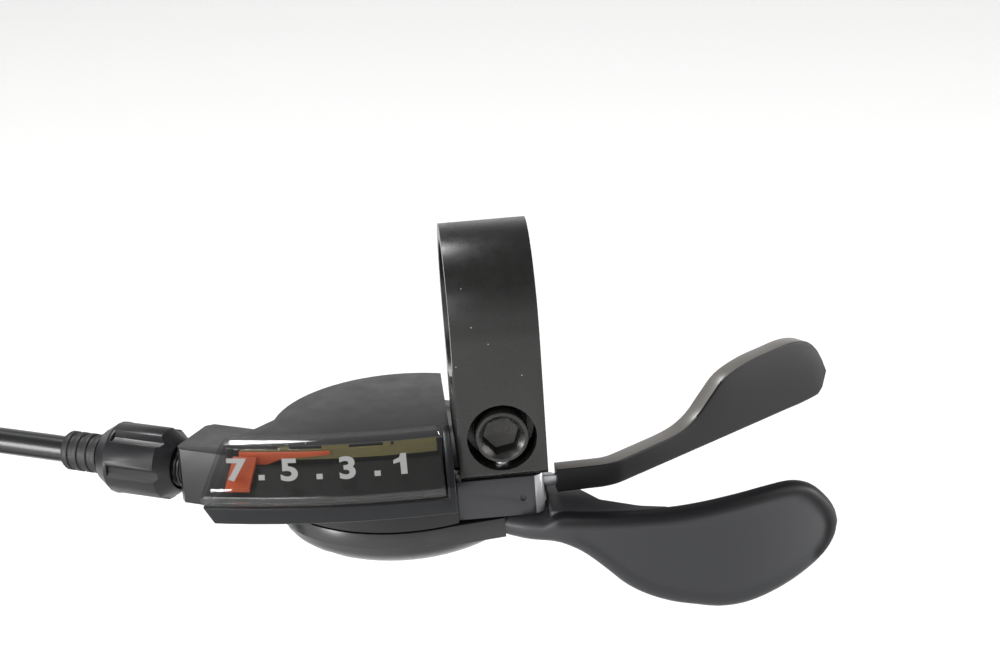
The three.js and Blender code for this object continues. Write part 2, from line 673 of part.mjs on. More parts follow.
function holdPawl() {
  const [x, y] = HOLD_PIN;
  const arm = outline([[x + 0.4, y - 1.7], [x - 3.4, y - 2.6], [-14.4, -10.8], [-15.7, -9.7],
    [-15.2, -8.65], [-13.8, -9.2], [x - 3.4, y - 0.9], [x - 0.2, y + 1.7]]);
  const tail = outline([[x - 0.4, y + 1.75], [x + 0.5, y - 1.7], [-3.5, -8.0], [-3.5, -6.6]]);
  return without(
    joined(
      plate(circleShape(x, y, 1.8), ...RATCHET_Z, 12),
      plate(arm, ...RATCHET_Z),
      plate(tail, ...RATCHET_Z),
      post(-4.3, -7.3, -22.6, -26.5, 0.7, 10),
    ),
    post(x, y, -25, -28, 1.2, 12),
  );
}

function holdPawlPin() {
  return joined(post(...HOLD_PIN, -20.5, -28.4, 0.85, 12), post(...HOLD_PIN, -27.5, -28.4, 1.4, 14));
}

// ---------------------------------------------------------------- gear display
function podWedge(margin, rearLeft, frontLeft, right) {
  return outline([[right - margin, -6], [rearLeft[0] + margin, rearLeft[1] + 3], [rearLeft[0] + margin, rearLeft[1]],
    [frontLeft[0] + margin, frontLeft[1]], [frontLeft[0] + margin, -24], [right - margin, -24]]);
}

function podRing(profile) {
  return turned(profile.map(([u, z]) => [POD_REAR_RADIUS + u, z]), ...POD_CENTRE, 160);
}

const POD_REAR_LEFT = [-38.8, -7.8];
const POD_FRONT_LEFT = [-42.6, -15.6];

function podBase() {
  const outer = podRing([[0, POD_BOTTOM_Z], [9.5, POD_BOTTOM_Z], [9.6, -19.3], [9.3, -17.9], [7.9, -16.6],
    [2.5, -12.7], [0, -12.2]]).intersect(plate(podWedge(0, POD_REAR_LEFT, POD_FRONT_LEFT, POD_RIGHT_X), -30, 0));
  const lensSpace = podRing([[-1, -13.8], [0.85, -13.8], [0.85, POD_BOTTOM_Z + 1.2], [8.2, POD_BOTTOM_Z + 1.2],
    [8.2, -19.3], [11, -19.3], [11, -10], [-1, -10]])
    .intersect(plate(podWedge(0, [-60, -7], [-60, -15], -8.3), -30, 0));
  const leftWall = podRing([[0, POD_BOTTOM_Z], [9.4, POD_BOTTOM_Z], [9.4, -19.3], [0, -19.3]])
    .intersect(plate(podWedge(0, POD_REAR_LEFT, POD_FRONT_LEFT, POD_RIGHT_X), -30, 0))
    .subtract(plate(podWedge(1.3, POD_REAR_LEFT, POD_FRONT_LEFT, POD_RIGHT_X - 3), -30, 0));
  const chamfer = frontPlate(outline([[-46, -19.2], [-42.5, -19.2], [-41.0, POD_BOTTOM_Z], [-41.0, -23],
    [-46, -23]]), -25, 0);
  const slot = podRing([[4.2, -23], [5.4, -23], [5.4, -19], [4.2, -19]])
    .intersect(box(-39.2, -11.6, -25, 0, -24, -18));
  return without(joined(without(outer, lensSpace), leftWall), chamfer, slot);
}

function lens() {
  const shell = podRing([[8.3, -19.0], [9.5, -19.0], [9.3, -17.7], [7.9, -16.5], [2.5, -12.6], [0, -12.1],
    [0, -13.0], [1.9, -13.6], [7.3, -17.4], [8.1, -18.2]]);
  const inside = podRing([[1.4, -12.7], [2.4, -12.9], [7.7, -16.8], [8.4, -17.9], [8.4, -18.7], [1.4, -18.7]]);
  const wedge = plate(podWedge(0.05, POD_REAR_LEFT, POD_FRONT_LEFT, -8.6), -30, 0);
  const endWall = inside.intersect(plate(podWedge(0.1, POD_REAR_LEFT, POD_FRONT_LEFT, -8.6), -19.0, 0))
    .subtract(plate(podWedge(1.2, POD_REAR_LEFT, POD_FRONT_LEFT, -6), -30, 0));
  return joined(shell.intersect(wedge), endWall);
}

function needle() {
  const [cx, cy] = POD_CENTRE;
  const sloped = podRing([[2.4, -14.5], [6.6, -17.45], [6.6, -18.1], [2.4, -15.2]]);
  const around = (radius, x) => cy - Math.sqrt(radius ** 2 - (x - cx) ** 2);
  const head = plate(outline([[-37.6, around(87.6, -37.6)], [-39.4, around(93.3, -39.4)],
    [-36.1, around(93.5, -36.1)], [-34.4, around(87.9, -34.4)]]), -24, -10);
  const foot = podRing([[4.5, -21.2], [5.1, -21.2], [5.1, -16.6], [4.5, -16.2]])
    .intersect(box(-38.2, -36.0, -20, 0, -24, -10));
  return joined(sloped.intersect(head), foot);
}

// the flexible tail of the needle, which tapers off behind the scale
function needleRibbon() {
  const band = podRing([[1.75, -14.0], [1.75, -16.6], [2.05, -16.6], [2.05, -14.2]]);
  const taper = frontPlate(outline([[-37, -14.0], [-24.2, -14.0], [-24.2, -14.6], [-31, -15.0], [-35, -16.6], [-37, -16.6]]),
    -20, 0);
  return band.intersect(taper);
}

function needleRail() {
  return podRing([[1.15, -15.4], [1.45, -15.4], [1.45, -14.0], [1.15, -13.9]])
    .intersect(box(-36.8, -9.2, -20, 0, -20, -10));
}

// ---------------------------------------------------------------- barrel adjuster
function adjusterBarrel() {
  return without(
    joined(cableBar(21, KNOB_START + 4, 2.4, 20), cableBar(KNOB_START + 3.5, KNOB_END + 1.2, 3.2, 20)),
    cableBar(20, CASING_START, 1.0, 12),
    cableBar(CASING_START - 2, KNOB_END + 2, CASING_RADIUS + GAP, 20),
  );
}

function adjusterKnob() {
  const cap = joined(
    cableBar(KNOB_START, KNOB_START + 2.2, 3.9, 24, 5.4),
    cableBar(KNOB_START + 2.1, KNOB_END - 1, 5.4, 24),
    cableBar(KNOB_END - 1.1, KNOB_END + 1.2, 5.4, 24, 4.0),
  );
  const flutes = [];
  for (let i = 0; i < 6; i += 1) {
    const angle = (i / 6) * Math.PI * 2;
    const offset = (r) => [r * Math.cos(angle), r * Math.sin(angle)];
    flutes.push(bar(onCable(KNOB_START - 1, ...offset(6.3)), onCable(KNOB_END - 1.6, ...offset(6.3)), 1.5, 10));
  }
  return without(
    cap,
    ...flutes,
    cableBar(KNOB_START - 1, KNOB_START + 2.5, 3.6, 24, 3.6),
    cableBar(KNOB_START, KNOB_END + 2, 3.5, 20),
  );
}

function adjusterSpring() {
  const points = [];
  const turns = 4;
  const steps = turns * 12;
  const from = BOSS_END + 0.5;
  const to = BOSS_END + 2.5;
  for (let i = 0; i <= steps; i += 1) {
    const angle = (i / 12) * Math.PI * 2;
    points.push(onCable(from + (to - from) * (i / steps), 2.98 * Math.cos(angle), 2.98 * Math.sin(angle)));
  }
  return wire(points, 0.22, steps, 6);
}

function casingBoot() {
  const length = BOOT_END - BOOT_START;
  const ribs = 4;
  let body = cableBar(BOOT_START, BOOT_END, 2.75, 20);
  for (let i = 0; i < ribs; i += 1) {
    const from = BOOT_START + 0.5 + (i * length) / ribs;
    body = body.add(cableBar(from, from + 0.8, 3.0, 20));
  }
  return without(body, cableBar(BOOT_START - 1, BOOT_END + 1, CASING_RADIUS + GAP, 20));
}

// ---------------------------------------------------------------- wire, casing and its ring
function innerWire() {
  return cableBar(0.15, CASING_START - GAP, WIRE_RADIUS, 8);
}

// the lead: straight out of the adjuster, round to the left and down onto the top of the ring
const LEAD_POINTS = [
  [...onCable(CASING_START)], [-59.0, 18.3, -23.9], [-64.2, 21.3, -23.9], [-69.4, 24.3, -23.9],
  [-74.6, 27.3, -23.9], [-79.3, 29.6, -23.9], [-84.2, 31.3, -24.0], [-89.3, 32.3, -24.3],
  [-94.6, 32.7, -25.1], [-99.5, 32.7, -26.4], [-104.5, 32.7, -28.0], [-109.5, 32.7, -29.3],
  [-113.5, 32.7, -29.8], [-116.1, 32.7, -29.9],
];

function shiftCasing() {
  const stop = RING_OUTER_RADIUS + GAP;
  const lead = wire(LEAD_POINTS, CASING_RADIUS, 34, 10);
  const ringSpace = ringTurned([[0, -8], [stop, -8], [stop, 8], [0, 8]]);
  return lead.subtract(ringSpace);
}

// a profile of [radius, side offset] points turned about the ring's level axis
function ringTurned(profile, segments = 48) {
  const closed = closedProfile(profile);
  const geometry = new THREE.LatheGeometry(closed, segments);
  geometry.translate(...RING_CENTRE);
  return solid(geometry);
}

function casingCoil() {
  const edge = 1.6;
  return ringTurned([
    [RING_INNER_RADIUS, -RING_HALF_WIDTH + edge], [RING_INNER_RADIUS + edge, -RING_HALF_WIDTH],
    [RING_OUTER_RADIUS - edge, -RING_HALF_WIDTH], [RING_OUTER_RADIUS, -RING_HALF_WIDTH + edge],
    [RING_OUTER_RADIUS, RING_HALF_WIDTH - edge], [RING_OUTER_RADIUS - edge, RING_HALF_WIDTH],
    [RING_INNER_RADIUS + edge, RING_HALF_WIDTH], [RING_INNER_RADIUS, RING_HALF_WIDTH - edge],
  ]);
}

function coilTie(degrees) {
  const half = 1.6;
  const inner = RING_INNER_RADIUS - GAP;
  const outer = RING_OUTER_RADIUS + GAP;
  const wide = RING_HALF_WIDTH + GAP;
  const band = 0.6;
  const frame = new THREE.Shape([
    new THREE.Vector2(inner - band, -wide - band), new THREE.Vector2(outer + band, -wide - band),
    new THREE.Vector2(outer + band, wide + band), new THREE.Vector2(inner - band, wide + band)]);
  frame.holes.push(new THREE.Path([
    new THREE.Vector2(inner, -wide), new THREE.Vector2(inner, wide),
    new THREE.Vector2(outer, wide), new THREE.Vector2(outer, -wide)]));
  const geometry = new THREE.ExtrudeGeometry(frame, { depth: half * 2, bevelEnabled: false });
  geometry.translate(0, 0, -half);
  const angle = THREE.MathUtils.degToRad(degrees);
  geometry.rotateY(-angle);
  geometry.translate(...RING_CENTRE);
  return solid(geometry);
}

// the last turn leaves the ring's far side straight down
const TAIL_X = RING_CENTRE[0] - RING_MID_RADIUS;
const TAIL_Y = RING_CENTRE[1] + 4.1;
const CAP_TOP = RING_CENTRE[2] - 17.5;
function tailBar(from, to, radius, segments = 16, endRadius = radius) {
  return bar([TAIL_X, TAIL_Y, CAP_TOP - from], [TAIL_X, TAIL_Y, CAP_TOP - to], radius, segments, endRadius);
}
function casingEndCap() {
  return joined(tailBar(0, 7.5, 2.4, 20), tailBar(7.4, 9.5, 2.4, 20, 1.4));
}
function wireTail() {
  return tailBar(9.5 + GAP, 22, WIRE_RADIUS, 8);
}
function wireCrimp() {
  return tailBar(22 + GAP, 28, 1.0, 12);
}

// ---------------------------------------------------------------- assembly
addPiece('clamp_band', clampBand(), blackPaint);
addPiece('clamp_bolt', clampBolt(), darkSteel);
addPiece('clamp_nut', clampNut(), zincSteel);
addPiece('base_plate', basePlate(), darkSteel);
addPiece('plate_rivet_front', plateRivet(RIVET_Y[0]), zincSteel);
addPiece('plate_rivet_rear', plateRivet(RIVET_Y[1]), zincSteel);
addPiece('upper_cover', upperCover(), blackPlastic);
addPiece('lower_cover', lowerCover(), blackPlastic);
SCREW_ANGLES.forEach((angle, i) => addPiece(`cover_screw_${i + 1}`, coverScrew(angle), zincSteel));
addPiece('main_axle', mainAxle(), zincSteel);
addPiece('axle_washer', washer(-30.2, -30.8, 5.2), zincSteel);
addPiece('axle_nut', axleNut(), zincSteel);
addPiece('winder_drum', winderDrum(), acetal);
addPiece('ratchet_plate', ratchetPlate(), zincSteel);
addPiece('wire_nipple', wireNipple(), brass);
addPiece('winder_spring', coilSpring(AXIS_X, AXIS_Y, -23.9, -22.4, 5.3, 0.3, 1.3), springSteel);
addPiece('thumb_lever_plate', thumbLeverPlate(), zincSteel);
addPiece('thumb_paddle', thumbPaddle(), leverPlastic);
addPiece('thumb_lever_spring', coilSpring(AXIS_X, AXIS_Y, -30.0, -29.0, 5.9, 0.25, 0.92), springSteel);
addPiece('feed_pawl', feedPawl(), darkSteel);
addPiece('feed_pawl_pin', feedPawlPin(), zincSteel);
addPiece('feed_pawl_spring', coilSpring(...FEED_PIN, -25.5, -24.7, 1.3, 0.14, 1.5), springSteel);
addPiece('release_lever_plate', releaseLeverPlate(), zincSteel);
addPiece('release_trigger', releaseTrigger(), leverPlastic);
addPiece('release_pin', releasePin(), zincSteel);
addPiece('release_spring', coilSpring(...RELEASE_PIN, -25.1, -24.0, 1.95, 0.19, 1.5), springSteel);
addPiece('hold_pawl', holdPawl(), darkSteel);
addPiece('hold_pawl_pin', holdPawlPin(), zincSteel);
addPiece('hold_pawl_spring', coilSpring(...HOLD_PIN, -25.5, -24.2, 1.3, 0.14, 2.5), springSteel);
addPiece('pod_base', podBase(), blackPlastic);
addPiece('lens', lens(), smoke);
addPiece('needle', needle(), orange);
addPiece('needle_ribbon', needleRibbon(), orange);
addPiece('needle_rail', needleRail(), amber);
addPiece('adjuster_barrel', adjusterBarrel(), zincSteel);
addPiece('adjuster_knob', adjusterKnob(), blackPlastic);
addPiece('adjuster_spring', adjusterSpring(), springSteel);
addPiece('casing_boot', casingBoot(), rubber);
addPiece('inner_wire', innerWire(), zincSteel);
addPiece('shift_casing', shiftCasing(), rubber);
addPiece('casing_coil', casingCoil(), rubber);
[35, 155, 275].forEach((angle, i) => addPiece(`coil_tie_${i + 1}`, coilTie(angle), glossPlastic));
addPiece('casing_end_cap', casingEndCap(), zincSteel);
addPiece('wire_tail', wireTail(), zincSteel);
addPiece('wire_crimp', wireCrimp(), zincSteel);

export default shifter;
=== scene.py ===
"""A right-hand seven-speed thumb shifter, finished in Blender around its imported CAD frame.

Lengths are in millimetres until they are handed to Blender, in the frame of the CAD model: the
origin is the centre of the clamp bore, +X runs along the handlebar towards the grip, +Y points
away from the rider and +Z is up.
"""

import json
import math

import bmesh
import bpy
from mathutils import Matrix, Vector

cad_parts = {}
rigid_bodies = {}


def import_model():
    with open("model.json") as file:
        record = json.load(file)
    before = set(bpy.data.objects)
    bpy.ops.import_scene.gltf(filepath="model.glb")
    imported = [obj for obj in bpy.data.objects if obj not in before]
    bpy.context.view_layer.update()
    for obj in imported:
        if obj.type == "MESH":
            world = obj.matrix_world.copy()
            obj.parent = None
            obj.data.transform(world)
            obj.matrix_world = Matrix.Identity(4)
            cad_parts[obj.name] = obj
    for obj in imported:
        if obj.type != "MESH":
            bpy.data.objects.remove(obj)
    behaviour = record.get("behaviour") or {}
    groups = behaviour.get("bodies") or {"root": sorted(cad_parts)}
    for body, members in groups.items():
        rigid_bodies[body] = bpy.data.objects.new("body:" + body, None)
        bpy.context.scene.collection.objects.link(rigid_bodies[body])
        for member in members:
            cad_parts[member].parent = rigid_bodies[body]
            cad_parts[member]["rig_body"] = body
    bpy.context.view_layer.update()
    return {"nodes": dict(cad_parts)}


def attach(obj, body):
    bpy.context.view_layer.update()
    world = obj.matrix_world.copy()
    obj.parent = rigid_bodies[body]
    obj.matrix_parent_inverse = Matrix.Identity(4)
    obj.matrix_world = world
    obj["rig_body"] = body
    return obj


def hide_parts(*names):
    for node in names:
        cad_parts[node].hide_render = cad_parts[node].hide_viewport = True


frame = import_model()

MM = 0.001

# ------------------------------------------------------------------ driving dimensions
AXIS = Vector((-14.0, 4.2, 0.0))  # the main axle, which stands along Z

# the wire leaves the winder along a level line
CABLE_LEVEL = -23.9
CABLE_ANGLE = math.radians(150)
CABLE_LEAVES_AT = math.radians(240)
CABLE_ALONG = Vector((math.cos(CABLE_ANGLE), math.sin(CABLE_ANGLE), 0))
CABLE_ASIDE = Vector((CABLE_ALONG.y, -CABLE_ALONG.x, 0))
WINDER_RADIUS = 10.27
CABLE_START = Vector((
    AXIS.x + WINDER_RADIUS * math.cos(CABLE_LEAVES_AT),
    AXIS.y + WINDER_RADIUS * math.sin(CABLE_LEAVES_AT),
    CABLE_LEVEL,
))

# distances along the cable line, and the coil that the casing is put away in
CASING_START = 40.4
CASING_DIAMETER = 4.0
RING_CENTRE = Vector((-116.5, 32.7, -59.9))
RING_RADIUS = 30.0
TURN_PITCH = 4.1

BOLT_LEVEL = -14.0
BOLT_FRONT = -13.2
BOLT_REAR = 12.0
BOLT_HEAD_RADIUS = 3.8
BOLT_HEAD_LENGTH = 4.8
BOLT_RADIUS = 2.5
CONE_RADIUS = 3.3
SOCKET_APOTHEM = 2.5
SOCKET_TURN = math.radians(11)
SOCKET_DEPTH = 3.0

# the display is bent round a point far behind it; its left end is cut on a slant
POD_CENTRE = Vector((-13.5, 75.0, 0.0))
POD_REAR_RADIUS = 86.0
POD_REAR_LEFT = (-38.8, -7.8)
POD_FRONT_LEFT = (-42.6, -15.6)
LENS_RIGHT = -8.6

# the thumb paddle is a band of a cylinder along Z, from the sleeve's left end to the tip
PADDLE_CENTRE = Vector((20.5, 24.3, 0.0))
PADDLE_RADIUS = 43.2
PADDLE_THICKNESS = 2.9
SLEEVE_LEFT = 0.04
SLEEVE_TOP, SLEEVE_BOTTOM = -26.6, -29.75
WEB_TOP, WEB_BOTTOM = -25.15, -29.4

FLOOR_LEVEL = -106.5


def on_cable(along, aside=0.0, up=0.0):
    """A point on the cable line, in millimetres."""
    return CABLE_START + CABLE_ALONG * along + CABLE_ASIDE * aside + Vector((0, 0, up))


# ------------------------------------------------------------------ camera
CAMERA_AZIMUTH = math.radians(-3.0)
CAMERA_ELEVATION = math.radians(20.5)
CAMERA_ROLL = math.radians(4.0)
CAMERA_DISTANCE = 400.0
CAMERA_ASIDE = 1.63
CAMERA_BELOW = 3.01
FOCAL_LENGTH = 100.8
SENSOR_WIDTH = 36.0


def make_camera():
    """The camera looks at the origin, less a small shift, and is rolled a little."""
    azimuth, elevation = CAMERA_AZIMUTH, CAMERA_ELEVATION
    back = Vector((
        math.sin(azimuth) * math.cos(elevation),
        -math.cos(azimuth) * math.cos(elevation),
        math.sin(elevation),
    ))
    level = Vector((math.cos(azimuth), math.sin(azimuth), 0))
    upright = back.cross(level)
    right = level * math.cos(CAMERA_ROLL) - upright * math.sin(CAMERA_ROLL)
    top = level * math.sin(CAMERA_ROLL) + upright * math.cos(CAMERA_ROLL)
    place = back * CAMERA_DISTANCE + right * CAMERA_ASIDE - top * CAMERA_BELOW
    data = bpy.data.cameras.new("camera")
    data.lens = FOCAL_LENGTH
    data.sensor_width = SENSOR_WIDTH
    data.clip_start = 0.01
    data.clip_end = 20
    camera = bpy.data.objects.new("camera", data)
    bpy.context.scene.collection.objects.link(camera)
    turn = Matrix((right, top, back)).transposed().to_4x4()
    camera.matrix_world = Matrix.Translation(place * MM) @ turn
    bpy.context.scene.camera = camera


make_camera()


# ------------------------------------------------------------------ materials
def principled(name, colour, roughness, metallic=0.0, **inputs):
    """A plain material; further inputs are named with an underscore for each space."""
    material = bpy.data.materials.new(name)
    material.use_nodes = True
    shader = material.node_tree.nodes["Principled BSDF"]
    shader.inputs["Base Color"].default_value = (*colour, 1)
    shader.inputs["Roughness"].default_value = roughness
    shader.inputs["Metallic"].default_value = metallic
    for key, value in inputs.items():
        shader.inputs[key.replace("_", " ")].default_value = value
    return material


def add_noise(material, scale, detail=3.0):
    """A noise texture in the object's own coordinates; scale is in features per millimetre."""
    tree = material.node_tree
    place = tree.nodes.new("ShaderNodeTexCoord")
    noise = tree.nodes.new("ShaderNodeTexNoise")
    noise.inputs["Scale"].default_value = scale / MM
    noise.inputs["Detail"].default_value = detail
    tree.links.new(place.outputs["Object"], noise.inputs["Vector"])
    return noise


def add_grain(material, scale, strength, depth=0.02):
    """Fine surface grain as a bump."""
    tree = material.node_tree
    noise = add_noise(material, scale)
    bump = tree.nodes.new("ShaderNodeBump")
    bump.inputs["Strength"].default_value = strength
    bump.inputs["Distance"].default_value = depth * MM
    tree.links.new(noise.outputs["Fac"], bump.inputs["Height"])
    tree.links.new(bump.outputs["Normal"], tree.nodes["Principled BSDF"].inputs["Normal"])
    return material


def add_wear(material, scale, low, high):
    """Lets the roughness wander between two values."""
    tree = material.node_tree
    noise = add_noise(material, scale, 5.0)
    ramp = tree.nodes.new("ShaderNodeMapRange")
    ramp.inputs["From Min"].default_value = 0.3
    ramp.inputs["From Max"].default_value = 0.7
    ramp.inputs["To Min"].default_value = low
    ramp.inputs["To Max"].default_value = high
    tree.links.new(noise.outputs["Fac"], ramp.inputs["Value"])
    tree.links.new(ramp.outputs["Result"], tree.nodes["Principled BSDF"].inputs["Roughness"])
    return material


def add_specks(material, spacing, size, colour):
    """Scatters small pale specks of dust; spacing and size are in millimetres."""
    tree = material.node_tree
    shader = tree.nodes["Principled BSDF"]
    place = tree.nodes.new("ShaderNodeTexCoord")
    cells = tree.nodes.new("ShaderNodeTexVoronoi")
    cells.inputs["Scale"].default_value = 1 / (spacing * MM)
    near = tree.nodes.new("ShaderNodeMath")
    near.operation = "LESS_THAN"
    near.inputs[1].default_value = size / spacing / 2
    mix = tree.nodes.new("ShaderNodeMix")
    mix.data_type = "RGBA"
    mix.inputs["A"].default_value = shader.inputs["Base Color"].default_value
    mix.inputs["B"].default_value = (*colour, 1)
    tree.links.new(place.outputs["Object"], cells.inputs["Vector"])
    tree.links.new(cells.outputs["Distance"], near.inputs[0])
    tree.links.new(near.outputs["Value"], mix.inputs["Factor"])
    tree.links.new(mix.outputs["Result"], shader.inputs["Base Color"])
    return material


def add_rim_painted_shade(material, colour, shine):
    """Darkens material towards colour, a painted shade, and lowers its specular level to shine where the
    mesh's rim attribute nears 1.
    """
    tree = material.node_tree
    shader = tree.nodes["Principled BSDF"]
    rim = tree.nodes.new("ShaderNodeAttribute")
    rim.attribute_name = "rim"
    mix = tree.nodes.new("ShaderNodeMix")
    mix.data_type = "RGBA"
    mix.inputs["A"].default_value = shader.inputs["Base Color"].default_value
    mix.inputs["B"].default_value = (*colour, 1)
    level = tree.nodes.new("ShaderNodeMapRange")
    level.inputs["To Min"].default_value = shader.inputs["Specular IOR Level"].default_value
    level.inputs["To Max"].default_value = shine
    tree.links.new(rim.outputs["Fac"], mix.inputs["Factor"])
    tree.links.new(mix.outputs["Result"], shader.inputs["Base Color"])
    tree.links.new(rim.outputs["Fac"], level.inputs["Value"])
    tree.links.new(level.outputs["Result"], shader.inputs["Specular IOR Level"])
    return material


DUST = (0.35, 0.35, 0.34)
# the darker colour of the paddle's raised rim: a painted shade
RIM_PAINTED_SHADE = (0.006, 0.006, 0.007)

clamp_paint = add_grain(principled("clamp paint", (0.0125, 0.012, 0.0115), 0.3), 6, 0.05)
add_wear(clamp_paint, 0.5, 0.24, 0.34)
add_specks(clamp_paint, 2.6, 0.17, DUST)
# a lighter, glossier paint for the clamp's bevels: a painted highlight along its edges
clamp_painted_highlight = add_grain(principled("clamp painted highlight", (0.085, 0.08, 0.068), 0.28), 6, 0.05)
bracket_paint = add_grain(principled("bracket paint", (0.041, 0.041, 0.044), 0.30, 0.45), 5, 0.08)
# a light, metallic paint for the flange's rounded right corner: a painted highlight
flange_painted_highlight = add_grain(principled("flange painted highlight", (0.42, 0.42, 0.44), 0.3, 0.6), 5, 0.08)
cover_plastic = principled("cover plastic", (0.0115, 0.0115, 0.013), 0.36, Specular_IOR_Level=0.34)
add_grain(cover_plastic, 8, 0.08)
add_wear(cover_plastic, 0.3, 0.30, 0.40)
dome_plastic = principled("dome plastic", (0.0095, 0.0095, 0.011), 0.27, Specular_IOR_Level=0.6)
add_grain(dome_plastic, 8, 0.08)
pod_plastic = principled("pod plastic", (0.009, 0.0095, 0.011), 0.30, Specular_IOR_Level=0.30)
add_grain(pod_plastic, 8, 0.12)
add_specks(pod_plastic, 3.1, 0.16, DUST)
lever_plastic = principled("lever plastic", (0.0275, 0.028, 0.0305), 0.44, Specular_IOR_Level=0.34)
add_grain(lever_plastic, 8, 0.10)
add_wear(lever_plastic, 0.4, 0.40, 0.48)
# the paddle's rim is painted darker and less shiny: a painted shade
add_rim_painted_shade(lever_plastic, RIM_PAINTED_SHADE, 0.16)
trigger_plastic = principled("trigger plastic", (0.012, 0.012, 0.013), 0.36, Specular_IOR_Level=0.16)
add_grain(trigger_plastic, 8, 0.08)
# a lighter copy of the trigger plastic for its top faces: a painted highlight
trigger_painted_highlight = add_grain(principled("trigger painted highlight", (0.15, 0.142, 0.13), 0.3), 8, 0.08)
dark_steel = add_wear(principled("dark steel", (0.055, 0.055, 0.057), 0.3, 0.9), 0.8, 0.22, 0.4)
bolt_steel = add_wear(principled("bolt steel", (0.050, 0.049, 0.047), 0.3, 0.7), 1.2, 0.2, 0.4)
worn_steel = add_wear(principled("worn steel", (0.34, 0.325, 0.30), 0.3, 1.0), 2.5, 0.14, 0.45)
zinc_steel = add_wear(principled("zinc steel", (0.50, 0.51, 0.52), 0.3, 1.0), 0.7, 0.22, 0.4)
spring_steel = principled("spring steel", (0.30, 0.30, 0.31), 0.25, 1.0)
black_steel = add_wear(principled("black steel", (0.03, 0.03, 0.031), 0.3, 0.6), 0.9, 0.25, 0.4)
brass = principled("brass", (0.60, 0.42, 0.16), 0.3, 1.0)
acetal = principled("acetal", (0.62, 0.61, 0.56), 0.45, Subsurface_Weight=0.1)
orange_plastic = add_grain(principled("orange plastic", (0.86, 0.15, 0.045), 0.42), 3, 0.05)
amber_plastic = add_grain(principled("amber plastic", (0.24, 0.21, 0.075), 0.25), 3, 0.05)
scale_plastic = add_grain(principled("scale plastic", (0.019, 0.020, 0.019), 0.30), 5, 0.10)
print_ink = add_grain(principled("print ink", (0.25, 0.25, 0.245), 0.5), 10, 0.05)
rubber = add_grain(principled("rubber", (0.012, 0.012, 0.013), 0.55), 4, 0.2)
casing_plastic = add_grain(principled("casing plastic", (0.010, 0.010, 0.011), 0.3), 3, 0.05)
tie_nylon = add_grain(principled("tie nylon", (0.014, 0.014, 0.014), 0.45), 3, 0.1)
cap_aluminium = add_grain(principled("cap aluminium", (0.6, 0.6, 0.61), 0.35, 1.0), 3, 0.1)
lens_clear = principled("lens clear", (0.012, 0.0125, 0.0105), 0.05, Alpha=0.26, IOR=2.4)


# ------------------------------------------------------------------ mesh helpers
def new_object(name, mesh, material):
    """An object in the scene with one material."""
    obj = bpy.data.objects.new(name, mesh)
    bpy.context.scene.collection.objects.link(obj)
    mesh.materials.clear()
    mesh.materials.append(material)
    return obj


def from_bmesh(name, bm, material):
    """An object from a bmesh, which is used up, with its faces pointing out."""
    mesh = bpy.data.meshes.new(name)
    bmesh.ops.recalc_face_normals(bm, faces=bm.faces)
    bm.to_mesh(mesh)
    bm.free()
    return new_object(name, mesh, material)


def baked(obj):
    """Applies the modifiers of obj to its mesh."""
    bpy.context.view_layer.update()
    graph = bpy.context.evaluated_depsgraph_get()
    mesh = bpy.data.meshes.new_from_object(obj.evaluated_get(graph))
    obj.modifiers.clear()
    obj.data = mesh
    return obj


def softened(obj, width, segments=2, angle=30.0, sharp=35.0, edge_material=None):
    """Rounds the edges of obj and shades it smooth where it is round."""
    if width:
        bevel = obj.modifiers.new("bevel", "BEVEL")
        bevel.width = width * MM
        bevel.segments = segments
        bevel.limit_method = "ANGLE"
        bevel.angle_limit = math.radians(angle)
        bevel.use_clamp_overlap = True
        bevel.miter_outer = "MITER_ARC"
        if edge_material:
            obj.data.materials.append(edge_material)
            bevel.material = 1
        baked(obj)
    obj.data.shade_smooth()
    obj.data.set_sharp_from_angle(angle=math.radians(sharp))
    return obj


def refined(node, material, width, segments=2, angle=30.0, sharp=35.0, edge_material=None):
    """The CAD node's own shape with softened edges, in its place."""
    bm = bmesh.new()
    bm.from_mesh(frame["nodes"][node].data)
    bmesh.ops.remove_doubles(bm, verts=bm.verts, dist=1e-6)
    bmesh.ops.dissolve_limit(bm, angle_limit=math.radians(0.3), verts=bm.verts, edges=bm.edges)
    obj = from_bmesh(node + "_shown", bm, material)
    softened(obj, width, segments, angle, sharp, edge_material)
    return in_place_of(obj, node)


def mark_faces(obj, material, wanted):
    """Gives material to the faces of obj that wanted picks."""
    obj.data.materials.append(material)
    for face in obj.data.polygons:
        if wanted(face):
            face.material_index = len(obj.data.materials) - 1


def add_loft(bm, rows, material_of=None):
    """Adds a closed skin over rows of points in millimetres; each row is a loop of equal count.

    material_of gives the material index of the faces between row number and the next.
    """
    rings = [[bm.verts.new(Vector(point) * MM) for point in row] for row in rows]
    for number, (first, second) in enumerate(zip(rings, rings[1:])):
        for i, corner in enumerate(first):
            j = (i + 1) % len(first)
            face = bm.faces.new((corner, first[j], second[j], second[i]))
            face.material_index = material_of(number) if material_of else 0
    bm.faces.new(list(reversed(rings[0])))
    bm.faces.new(rings[-1])


def loft(name, rows, material, material_of=None):
    """An object that is one closed skin over rows of points."""
    bm = bmesh.new()
    add_loft(bm, rows, material_of)
    return from_bmesh(name, bm, material)


def rounded_line(points, radii, steps=5):
    """A flat line through points whose inner corners are arcs, near enough, of the given radii."""
    line = [Vector(points[0])]
    for before, corner, after, radius in zip(points, points[1:], points[2:], radii):
        corner = Vector(corner)
        back = Vector(before) - corner
        ahead = Vector(after) - corner
        half = back.angle(ahead) / 2
        reach = min(radius / math.tan(half), 0.48 * back.length, 0.48 * ahead.length)
        start = corner + back.normalized() * reach
        end = corner + ahead.normalized() * reach
        for step in range(steps + 1):
            t = step / steps
            line.append(start * (1 - t) ** 2 + corner * 2 * t * (1 - t) + end * t ** 2)
    line.append(Vector(points[-1]))
    return line


